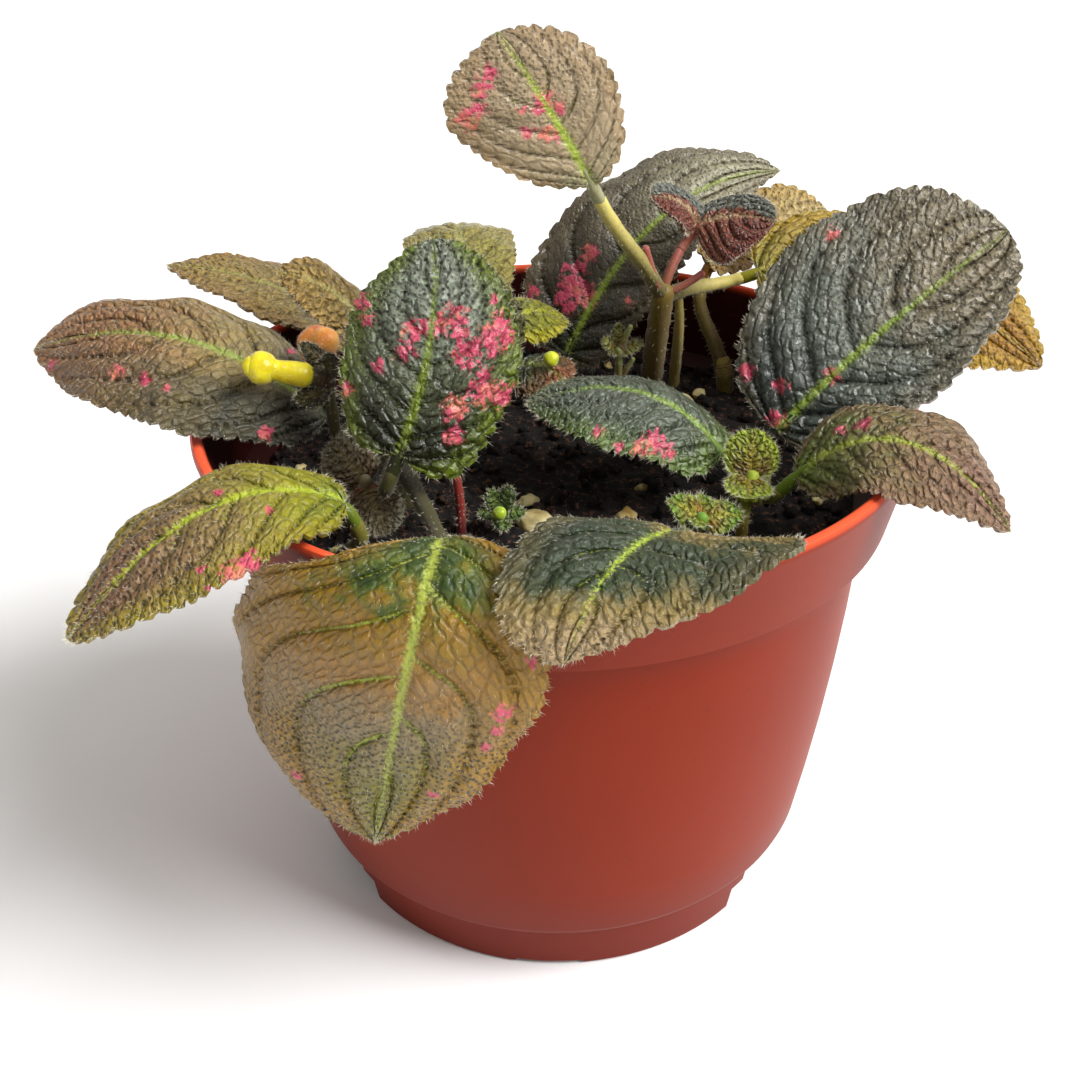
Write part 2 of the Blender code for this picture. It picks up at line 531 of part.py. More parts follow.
def soil_height(x, y):
    """Lumpy surface of the soil; it rises a little towards the middle of the pot."""
    lumps = math.sin(0.42 * x + 1.3) * math.cos(0.37 * y - 0.4) + 0.6 * math.sin(0.9 * x - 0.7 * y)
    return SOIL_LEVEL + SOIL_ROUGHNESS * lumps * 0.5


def make_soil(collection, cutters, holes):
    """Soil filling the pot to below the rim, with a hole for each stem that stands in it."""
    floor_top = FLOOR_UNDERSIDE + FLOOR_THICKNESS

    def edge(z):
        return wall_radius(z) - WALL_THICKNESS - 0.6

    work = bmesh.new()
    turns = [2 * math.pi * k / SOIL_SPOKES for k in range(SOIL_SPOKES)]
    top = edge(SOIL_LEVEL - 1.6)
    rings = []
    for ring in range(1, SOIL_RINGS + 1):
        r = top * ring / SOIL_RINGS
        rings.append([work.verts.new(vec((r * math.cos(a), r * math.sin(a), SOIL_LEVEL - 1.6
                      if ring == SOIL_RINGS else soil_height(r * math.cos(a), r * math.sin(a)))) * MM)
                      for a in turns])
    for z in (47, 28, floor_top + GAP):
        rings.append([work.verts.new(vec((edge(z) * math.cos(a), edge(z) * math.sin(a), z)) * MM)
                      for a in turns])
    middle = work.verts.new(vec((0, 0, soil_height(0, 0))) * MM)
    for k in range(SOIL_SPOKES):
        after = (k + 1) % SOIL_SPOKES
        work.faces.new((middle, rings[0][k], rings[0][after]))
        for inner, outer in zip(rings, rings[1:]):
            work.faces.new((inner[k], outer[k], outer[after], inner[after]))
    work.faces.new(rings[-1][::-1])
    mesh = bpy.data.meshes.new("soil")
    work.to_mesh(mesh)
    work.free()
    soil = place("soil", mesh, collection, material("potting soil", (0.02, 0.015, 0.012), 0.95))
    for k, (foot, radius) in enumerate(holes):
        ends = [vec((*foot, HOLE_FLOOR - GAP)), vec((*foot, COLLAR + 2))]
        bar = tube_mesh(ends, ((radius + GAP) / math.cos(math.pi / 8),), 8)
        boolean(soil, place(f"soil_hole_{k + 1}", bar, cutters), "DIFFERENCE")
    return soil


def main():
    for thing in list(bpy.data.objects):
        bpy.data.objects.remove(thing)
    plant = bpy.data.collections.new("potted_flame_violet")
    cutters = bpy.data.collections.new("cutters")
    for collection in (plant, cutters):
        bpy.context.scene.collection.children.link(collection)

    make_pot(plant, cutters)
    for name, leaf in BLADES.items():
        make_blade(name, leaf, plant, cutters)
    holes = []
    for name, stem in STEMS.items():
        make_stem(name, stem, plant, cutters)
        holes.append((stem["foot"], max(stem["radii"])))
    for name, sprig in SPRIGS.items():
        make_sprig(name, sprig, plant, cutters)
        if "foot" in sprig:
            holes.append((sprig["foot"], max(sprig["bars"][0][1])))
    for name, bud in BUDS.items():
        make_bud(name, bud, plant, cutters)
    make_soil(plant, cutters, holes)


main()
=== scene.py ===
# %% [markdown]
# # A potted flame violet
# A flame violet is a low house plant with furry, quilted leaves in bronze and green. This lesson dresses
# a fixed model of one in its growers' pot. The solids come from a packed file and never move, so every
# piece made here is built where its solid already is, in metres, with the pot's axis on Z and -Y in front.

import math

import bmesh
import bpy
import numpy as np
from mathutils import Matrix, Vector, noise


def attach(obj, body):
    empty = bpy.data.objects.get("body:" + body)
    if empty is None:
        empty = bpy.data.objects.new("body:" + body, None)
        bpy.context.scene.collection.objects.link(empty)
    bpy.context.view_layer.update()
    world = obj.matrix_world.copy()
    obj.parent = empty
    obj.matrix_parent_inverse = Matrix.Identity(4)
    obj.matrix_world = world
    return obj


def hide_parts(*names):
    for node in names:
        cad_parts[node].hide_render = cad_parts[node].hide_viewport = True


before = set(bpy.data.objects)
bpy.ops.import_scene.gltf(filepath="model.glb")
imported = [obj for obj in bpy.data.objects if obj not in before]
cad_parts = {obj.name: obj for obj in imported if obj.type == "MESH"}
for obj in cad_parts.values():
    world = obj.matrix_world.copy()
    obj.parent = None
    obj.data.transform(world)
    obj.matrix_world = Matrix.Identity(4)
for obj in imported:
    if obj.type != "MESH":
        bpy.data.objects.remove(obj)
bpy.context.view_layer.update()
MM = 0.001
chance = np.random.default_rng(11)

# %% [markdown]
# ## The camera
# The picture looks down on the plant by about 32 degrees from close by, which makes the near leaves large.
# The distance and the lens were worked out from the ellipses that the round rim and foot make in the
# picture. A camera looks along its own -Z, so its matrix needs only its right, its up and its back.

# %% Camera
def put(name, data):
    made = bpy.data.objects.new(name, data)
    bpy.context.scene.collection.objects.link(made)
    return made


DISTANCE, LOOK_DOWN, ROLL, LENS = 218 * MM, math.radians(32), math.radians(-0.88), 45.97
aim = Vector((-2.4, 0, 54)) * MM
back = Vector((0, -math.cos(LOOK_DOWN), math.sin(LOOK_DOWN)))
level, rising = Vector((1, 0, 0)), Vector((1, 0, 0)).cross(-back)
right = level * math.cos(ROLL) + rising * math.sin(ROLL)
up = rising * math.cos(ROLL) - level * math.sin(ROLL)
camera = put("camera", bpy.data.cameras.new("camera"))
camera.data.lens, camera.data.sensor_width, camera.data.clip_start = LENS, 36, 0.01
camera.matrix_world = Matrix.Translation(aim + back * DISTANCE) @ Matrix((right, up, back)).transposed().to_4x4()
bpy.context.scene.camera = camera
print("camera at", [round(c / MM) for c in camera.location], "mm")

# %% [markdown]
# ## Colours and nodes
# Colours are easiest to pick as the hex values of a paint program, which are sRGB, while shaders want
# linear light. One function turns the first into the second. A second function adds a node, sets what it
# is given and links what it is given, which keeps a material short enough to read in one go.

# %% Helpers for colours and nodes
def linear(code):
    parts = [int(code[k:k + 2], 16) / 255 for k in (1, 3, 5)]
    return (*(p / 12.92 if p <= 0.04045 else ((p + 0.055) / 1.055)**2.4 for p in parts), 1)


def add(tree, kind, links=None, **settings):
    """Adds a node. A value in links is a socket to link or a number to set, by the input's name or number."""
    made = tree.nodes.new("ShaderNode" + kind)
    for key, value in settings.items():
        setattr(made, key, value)
    for key, value in (links or {}).items():
        if isinstance(value, bpy.types.NodeSocket):
            tree.links.new(value, made.inputs[key])
        else:
            made.inputs[key].default_value = value
    return made


def new_material(name, roughness, ior=1.45, **values):
    made = bpy.data.materials.new(name)
    made.use_nodes = True
    shader = made.node_tree.nodes["Principled BSDF"]
    for key, value in {"Roughness": roughness, "IOR": ior, "Metallic": 0, **values}.items():
        shader.inputs[key].default_value = value
    return made, made.node_tree, shader


# %% [markdown]
# ## Light, floor and backdrop
# Soft light from a pale surround keeps the shadows open, and a broad lamp gives the pot its lighter side.
# The floor is plain and pale. It isn't part of the plant, so it is staged.

# %% Light and floor
# name, strength, width in degrees and the way that the light goes
LAMPS = (("broad lamp", 4.4, 36, (-0.98, 0.3, -0.95)), ("front fill", 0.45, 60, (0.3, 1, -0.5)))
BRIGHT_SIDE = (0.45, 0.5, 0.74)
scene = bpy.context.scene
scene.view_settings.view_transform = "Standard"
scene.world = bpy.data.worlds.new("pale surround")
scene.world.use_nodes = True
sky = scene.world.node_tree
surround = sky.nodes["Background"]
surround.inputs["Color"].default_value = linear("#fffcf6")
way = add(sky, "VectorMath", {0: add(sky, "TexCoord").outputs["Generated"], 1: BRIGHT_SIDE}, operation="DOT_PRODUCT")
glow = add(sky, "MapRange", {0: way.outputs["Value"], 1: -0.25, 2: 0.95, 3: 0.08, 4: 0.7},
           interpolation_type="SMOOTHSTEP")
sky.links.new(glow.outputs[0], surround.inputs["Strength"])
for name, strength, spread, direction in LAMPS:
    lamp = put(name, bpy.data.lights.new(name, "SUN"))
    lamp.data.energy, lamp.data.angle = strength, math.radians(spread)
    lamp.rotation_mode = "QUATERNION"
    lamp.rotation_quaternion = Vector(direction).to_track_quat("-Z", "Y")
bpy.ops.mesh.primitive_plane_add(size=8, location=(0, 0, 0))
floor = bpy.context.object
floor.name = "floor"
paper, tree, shader = new_material("white paper", 0.9)
grain = add(tree, "TexNoise", {"Vector": add(tree, "TexCoord").outputs["Object"], "Scale": 40, "Detail": 2})
tint = add(tree, "Mix", {0: grain.outputs["Fac"], 6: linear("#f6f6f6"), 7: linear("#fafafa")}, data_type="RGBA")
tree.links.new(tint.outputs[2], shader.inputs["Base Color"])
floor.data.materials.append(paper)

# %% [markdown]
# ## From points to pieces
# Leaves and stems here are sheets and tubes of many points that follow a formula, so they are gathered as
# plain arrays. A part is its points in millimetres, its faces, the slot of its material, and a few named
# numbers for each point. Those numbers say where on the leaf a point is, and the materials read them.

# %% Gather parts into one mesh
VALUES = ("reach", "edge", "vein", "groove", "patch")
VECTORS = ("flat", "net")


def part(points, faces, slot=0, **values):
    points = np.asarray(points, float)
    made = {name: np.broadcast_to(np.asarray(values.get(name, 0), float), len(points)) for name in VALUES}
    for name in VECTORS:
        made[name] = np.asarray(values.get(name, points), float)
    return {"points": points, "faces": faces, "slot": slot, "values": made}


def make_piece(name, parts, materials, nodes, sharp=55):
    """One object from its parts. It stands for its CAD nodes and rides on the plant's one body."""
    points, faces, slots, start = [], [], [], 0
    for p in parts:
        points.append(p["points"])
        faces += [[start + k for k in face] for face in p["faces"]]
        slots += [p["slot"]] * len(p["faces"])
        start += len(p["points"])
    mesh = bpy.data.meshes.new(name)
    mesh.from_pydata(np.concatenate(points) * MM, [], faces)
    for names, kind, field in ((VALUES, "FLOAT", "value"), (VECTORS, "FLOAT_VECTOR", "vector")):
        for value in names:
            numbers = np.concatenate([p["values"][value] for p in parts]).ravel()
            mesh.attributes.new(value, kind, "POINT").data.foreach_set(field, numbers)
    for m in materials:
        mesh.materials.append(m)
    mesh.polygons.foreach_set("material_index", slots)
    mesh.shade_smooth()
    mesh.set_sharp_from_angle(angle=math.radians(sharp))
    thing = put("seen_" + name, mesh)
    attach(thing, "root")
    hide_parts(*nodes)
    return thing


# %% [markdown]
# ## The shape of a blade
# A blade grows from a curved midrib. First it is laid out flat: each row of points starts on the midrib
# and runs forward to the margin, as side veins do. Then the flat shape is bent onto the midrib's curve,
# where each half may sag or fold. The solids were made with the same formula and fewer points, so these
# finer blades lie on them.

# %% Blade formula
MIDRIB_STEPS = 201


def unit(vectors):
    vectors = np.array(vectors, float)
    return vectors / np.linalg.norm(vectors, axis=-1, keepdims=True)


def midrib(leaf):
    base, bend, tip = (np.array(leaf[key], float) for key in ("base", "bend", "tip"))
    s = np.linspace(0, 1, MIDRIB_STEPS)[:, None]
    line = (1 - s)**2 * base + 2 * s * (1 - s) * bend + s**2 * tip
    walked = np.concatenate([[0], np.cumsum(np.linalg.norm(np.diff(line, axis=0), axis=1))])
    return base, bend, tip, walked


def lay_flat(leaf, t, v):
    """Millimetres across and along the midrib: t runs from base to tip, v from margin to margin."""
    length, half = midrib(leaf)[3][-1], leaf["width"] / 2
    outer = np.clip(2 * t - 1, 0, 1) * math.pi / 2
    inner = np.clip(1 - 2 * t, 0, 1) * math.pi / 2
    broad, share = leaf["broad"], leaf["share"]
    reach = np.where(t >= 0.5, np.cos(outer)**leaf["point"], np.cos(inner)**leaf["tuck"])
    along = np.where(t >= 0.5, broad + (1 - broad) * np.sin(outer), broad * (1 - np.sin(inner)))
    along = along - leaf["lobe"] * np.sin(math.pi * np.clip(t / 0.45, 0, 1))
    across = half * reach * v * np.where(v < 0, share[0], share[1])
    rib = length * t**1.5
    forward = rib + (along * length - rib) * (0.4 * abs(v) + 0.6 * v * v) + leaf["slant"] * across
    return across, forward


def bend_up(leaf, across, forward, lift):
    """Bends the flat leaf onto its midrib, raised by lift, and gives the points and their upward normals."""
    base, bend, tip, walked = midrib(leaf)
    half = leaf["width"] / 2
    s = np.clip(np.interp(forward, walked, np.linspace(0, 1, MIDRIB_STEPS)), 0, 1)[..., None]
    centre = (1 - s)**2 * base + 2 * s * (1 - s) * bend + s**2 * tip
    heading = unit(2 * (1 - s) * (bend - base) + 2 * s * (tip - bend))
    centre = centre + heading * np.minimum(forward, 0)[..., None]
    centre = centre + heading * np.maximum(forward - walked[-1], 0)[..., None]
    face = (1 - s) * unit(leaf["face"]) + s * unit(leaf.get("tip_face", leaf["face"]))
    side = unit(np.cross(heading, face))
    normal = np.cross(side, heading)
    sag, tip_sag = leaf["sag"], leaf.get("tip_sag", leaf["sag"])
    way = s[..., 0]
    bow = np.where(across < 0, sag[0] + (tip_sag[0] - sag[0]) * way, sag[1] + (tip_sag[1] - sag[1]) * way)
    bow = np.where(abs(bow) < 1e-3, 1e-3, bow) / half
    angle = abs(across) * bow
    sideways = np.sign(across) * np.sin(angle) / bow
    fall = -(1 - np.cos(angle)) / bow
    tilt = np.sign(across)[..., None] * side * np.sin(angle)[..., None] + normal * np.cos(angle)[..., None]
    points = centre + side * sideways[..., None] + normal * fall[..., None] + tilt * lift[..., None]
    return points, tilt


# %% [markdown]
# ## Quilting, veins and teeth
# The blades are bullate: the tissue swells up between the veins like a quilt. Side veins leave the midrib,
# arch towards the tip and are sunk into the face, and cross veins cut each bulge into blocks of about
# 2 mm. The margin is crenate, with round teeth a little over 2 mm apart. They are counted by the distance
# walked along the margin, so that all come out the same size.

# %% Relief of a blade
SIDE_VEINS, ARCH = 6, 0.25  # how many on each half, and how far forward they arch as a share of the blade
VEIN_WIDTH = 0.13  # as a share of the distance between two side veins
FURROW_DEPTH, FURROW_WIDTH = 0.3, 0.9  # of the midrib, in millimetres


def soft_step(low, high, value):
    share = np.clip((value - low) / (high - low), 0, 1)
    return share * share * (3 - 2 * share)


def teeth(leaf, t, v, across, forward):
    """Moves the outer points along the margin's own outward direction, in round teeth."""
    ends = []
    for column in (0, -1):
        x, y = across[:, column], forward[:, column]
        dx, dy = np.gradient(x), np.gradient(y)
        length = np.maximum(np.hypot(dx, dy), 1e-9)
        walked = np.concatenate([[0], np.cumsum(np.hypot(np.diff(x), np.diff(y)))])
        turn = -1 if column == 0 else 1
        count = max(4, round(walked[-1] / leaf["tooth_pitch"]))
        beat = count * walked / walked[-1]
        # slow and fast waves keep the teeth from being all alike
        beat = beat + 0.35 * np.sin(0.9 * beat) + 0.12 * np.sin(2 * math.pi * beat)
        wave = abs(np.sin(math.pi * beat))**0.6 - 0.7 + 0.25 * np.sin(0.7 * beat)
        wave = wave * leaf["tooth"] * np.clip(8 * t[:, column] * (1 - t[:, column]), 0, 1)
        ends.append((turn * dy / length * wave, -turn * dx / length * wave))
    near = soft_step(0.88, 1, abs(v))
    sideways, onward = (np.where(v < 0, left[:, None], right[:, None]) * near for left, right in zip(*ends))
    return across + sideways, forward + onward


def relief(leaf, t, v, across, forward):
    """Height of the quilting in mm, how deep a point lies in a side vein, and its place among the blocks."""
    a = abs(v)
    lean = t - ARCH * (0.7 * a + 0.2 * a**2 + 0.5 * a**4) + np.where(v < 0, 0.02, -0.03)
    beat = SIDE_VEINS * lean + 0.1 * np.sin(5 * a + 9 * t)
    # the bulges are highest midway between two side veins and flatten out at the midrib, margin and ends
    side = abs(np.sin(math.pi * beat))
    rise = soft_step(0, 0.14, a) * (1 - a**8) * np.sin(math.pi * np.clip(t, 0, 1))**0.5
    slow = np.sin(0.55 * across + 1.7 * np.sin(0.4 * forward)) * np.sin(0.6 * forward + 0.9)
    height = leaf["width"] * leaf["quilt"] * rise * (side**0.5 - 0.6) + 0.2 * slow * rise
    height = height - FURROW_DEPTH * np.exp(-(across / FURROW_WIDTH)**2) * (1 - t)**0.5
    height = height + leaf["wave"] * a**3 * np.sin(0.45 * forward + 2 * np.sign(v)) * np.sin(math.pi * t)
    deep = np.exp(-(side / VEIN_WIDTH)**2) * soft_step(0, 0.1, a) * (1 - a**14)
    # the cross veins bow outwards from the midrib, so the blocks are placed along bowed lines
    spread = leaf["block"]
    bow = abs(across) * (0.6 + 0.03 * abs(across))
    net = np.stack([(forward - bow) / spread, (abs(across) + 0.45 * forward) / spread / 1.3,
                    np.zeros_like(a)], axis=-1)
    return height, deep, net


# %% [markdown]
# ## A whole blade
# The upper face is a grid of points that narrows to one point at the base and one at the tip. The lower
# face is the same grid, moved down by the blade's thickness, and by more along the midrib, which stands
# out below as a keel. Short stiff hairs grow on the margin and on the face: each is one thin triangle,
# because at this size a hair is only as wide as half a pixel.

# %% Build a blade
THICKNESS, KEEL = 0.6, 1.0  # in millimetres
FRINGE, FUR = 14, 0.9  # hairs for each millimetre of length and for each square millimetre


def hairs(roots, directions, lengths, width=0.07, slot=2):
    count = len(roots)
    directions = unit(directions)
    across = unit(np.cross(directions, chance.normal(size=(count, 3)))) * width / 2
    tips = roots + directions * lengths[:, None]
    points = np.stack([roots - across, roots + across, tips], axis=1).reshape(-1, 3)
    return part(points, [(3 * k, 3 * k + 1, 3 * k + 2) for k in range(count)], slot)


def blade_parts(leaf, grain=0.36, fuzz=1.0):
    """Both faces, the fringe on the margin and the fur on top. Grain is the grid's step in millimetres."""
    size = max(leaf["width"], midrib(leaf)[3][-1])
    rows, columns = int(1.35 * size / grain), 2 * int(leaf["width"] / grain / 4)
    t, v = np.meshgrid(np.linspace(0, 1, rows + 1), np.linspace(-1, 1, columns + 1), indexing="ij")
    across, forward = teeth(leaf, t, v, *lay_flat(leaf, t, v))
    height, deep, net = relief(leaf, t, v, across, forward)
    top, normal = bend_up(leaf, across, forward, height)
    keel = KEEL * np.exp(-(across / 1.1)**2) * np.clip(1 - t / 0.8, 0, 1)
    under = top - normal * (THICKNESS + keel)[..., None]

    # the grid's first row is kept as one point, the base, and its last row as the tip
    middle = columns // 2
    kept = [(0, middle), *((r, c) for r in range(1, rows) for c in range(columns + 1)), (rows, middle)]
    count, last = len(kept), len(kept) - 1
    kept = tuple(np.array(kept).T)

    def at(row, column):
        return 1 + (row - 1) * (columns + 1) + column

    faces = []
    for c in range(columns):
        faces.append((0, at(1, c + 1), at(1, c)))
        faces.append((last, at(rows - 1, c), at(rows - 1, c + 1)))
        for r in range(1, rows - 1):
            faces.append((at(r, c), at(r, c + 1), at(r + 1, c + 1), at(r + 1, c)))
    loop = [0, *(at(r, columns) for r in range(1, rows)), last, *(at(r, 0) for r in range(rows - 1, 0, -1))]
    below = [tuple(k + count for k in face[::-1]) for face in faces]
    rim = [(a, a + count, b + count, b) for a, b in zip(loop, loop[1:] + loop[:1])]

    # what each point knows about its place, for the materials
    x, y, v, t, groove, upper, lower, net = (
        grid[kept] for grid in (across, forward, v, t, deep, top, under, net))
    rib = np.exp(-abs(x) / 0.8) * np.clip(1.5 - t, 0, 1) * leaf["lime"]
    branch = groove * np.clip(1.25 - abs(v), 0, 1) * leaf["branch"]
    reach = 1 - (upper[:, 2] - upper[:, 2].min()) / np.ptp(upper[:, 2]) if leaf["by_height"] else t
    patch = np.zeros(count)
    for px, py, radius in leaf["patches"]:
        patch = np.maximum(patch, 1 - np.hypot(x - px, y - py) / radius / 2.6)
    # a sign here picks one half to take the margin's tone instead of the margins: a real tint on the shoot tip,
    # painted shade on the near half of leaf_left_long
    limits = (0.25, 0.45, v * leaf["folded"]) if leaf["folded"] else (leaf["margin"], 1, abs(v))
    edge = soft_step(*limits) * np.clip(leaf["fade"] * (1 - reach), 0, 1)
    offset = (leaf["width"] * 7.0, 0, 0)  # so that no two blades have the same noise
    values = dict(reach=reach, edge=edge, vein=np.maximum(rib, branch), groove=groove, patch=patch,
                  flat=np.stack([x, y, np.zeros(count)], axis=1) + offset, net=net + offset)
    values = {key: np.concatenate([value, value]) for key, value in values.items()}
    both = np.concatenate([upper, lower])
    # the rim belongs to the upper face's material, the lower face has its own
    shared = [part(both, faces + rim, 0, **values), part(both, below, 1, **values)]

    outward = np.concatenate([top[:, 0] - top[:, 1], top[:, -1] - top[:, -2]])
    margin, normals = (np.concatenate([grid[:, 0], grid[:, -1]]) for grid in (top, normal))
    grow = np.flatnonzero(np.linalg.norm(outward, axis=1) > 1e-6)
    some = grow[chance.integers(0, len(grow), int(FRINGE * size * fuzz))]
    out = unit(outward[some])
    sway = out + 0.5 * normals[some] + 0.45 * chance.normal(size=(len(some), 3))
    fringe = hairs(margin[some] - out * 0.1, sway, chance.uniform(0.3, 0.75, len(some)) * leaf["fringe"], 0.05)
    count = int(FUR * leaf["width"] * size * fuzz)
    r, c = chance.integers(2, rows - 1, count), chance.integers(0, columns + 1, count)
    lean = normal[r, c] + unit(np.subtract(leaf["tip"], leaf["base"])) + 0.5 * chance.normal(size=(count, 3))
    fluff = hairs(top[r, c], lean, chance.uniform(0.3, 0.7, count), 0.04)
    return [*shared, fringe, fluff]


# %% [markdown]
# ## Round bars
# Petioles and stems are tubes along a smooth line. The points that steer each line are the ones that the
# solids use, so a petiole still comes up out of its stem and meets its blade from below.

# %% Build a bar
BAR_FUR = 7  # hairs for each square millimetre of length by radius


def smooth(points, steps):
    """Points along the Bezier curve of any degree that the given points control."""
    control = [np.array(p, float) for p in points]
    degree = len(control) - 1
    share = np.linspace(0, 1, steps + 1)[:, None]
    return sum(math.comb(degree, k) * share**k * (1 - share)**(degree - k) * p for k, p in enumerate(control))


def bar(path, radii, sides=12, slot=0, knobs=0.04, fuzz=0.0):
    """A tube along the path, its radius lumpy by the share in knobs, with rounded ends and some fur."""
    path = np.asarray(path, float)
    walk = np.linspace(0, 1, len(path))
    radius = np.interp(walk, np.linspace(0, 1, len(radii)), radii)
    heading = unit(np.gradient(path, axis=0))
    side = np.cross(heading[0], (0.3, 0.9, 0.1))
    turn = np.linspace(0, 2 * math.pi, sides, endpoint=False)
    rings = []
    for k, ahead in enumerate(heading):
        side = unit(side - ahead * (side @ ahead))
        swell = radius[k] * (1 + knobs * np.sin(3 * turn + 4 * walk[k]) + knobs * np.sin(11 * walk[k] * sides / 4))
        rings.append(path[k] + np.outer(np.cos(turn) * swell, side)
                     + np.outer(np.sin(turn) * swell, np.cross(ahead, side)))
    # both ends are rounded off by one narrower ring and a pole
    for end, sign in ((0, -1), (-1, 1)):
        shrunk = path[end] + heading[end] * sign * radius[end] * 0.5 + 0.75 * (rings[end] - path[end])
        rings = [shrunk, *rings] if sign < 0 else [*rings, shrunk]
    poles = path[[0, -1]] + heading[[0, -1]] * radius[[0, -1], None] * 0.75 * np.array([[-1], [1]])
    first = len(rings) * sides
    steps = [(j, (j + 1) % sides) for j in range(sides)]
    faces = [(k + j, k + n, k + sides + n, k + sides + j) for k in range(0, first - sides, sides) for j, n in steps]
    for j, n in steps:
        faces += [(first, n, j), (first + 1, first - sides + j, first - sides + n)]
    reach = np.concatenate([np.repeat([0, *walk, 1], sides), [0, 1]])
    made = [part(np.concatenate([*rings, poles]), faces, slot, reach=reach, vein=reach)]
    total = int(fuzz * np.linalg.norm(np.diff(path, axis=0), axis=1).sum() * radius.mean() * BAR_FUR)
    if total:
        k, j = chance.integers(1, len(path) - 1, total), chance.integers(0, sides, total)
        root = np.stack(rings)[k + 1, j]
        made.append(hairs(root, root - path[k] + 0.4 * chance.normal(size=(total, 3)) * radius[k][:, None],
                          chance.uniform(0.3, 0.8, total), 0.05))
    return made
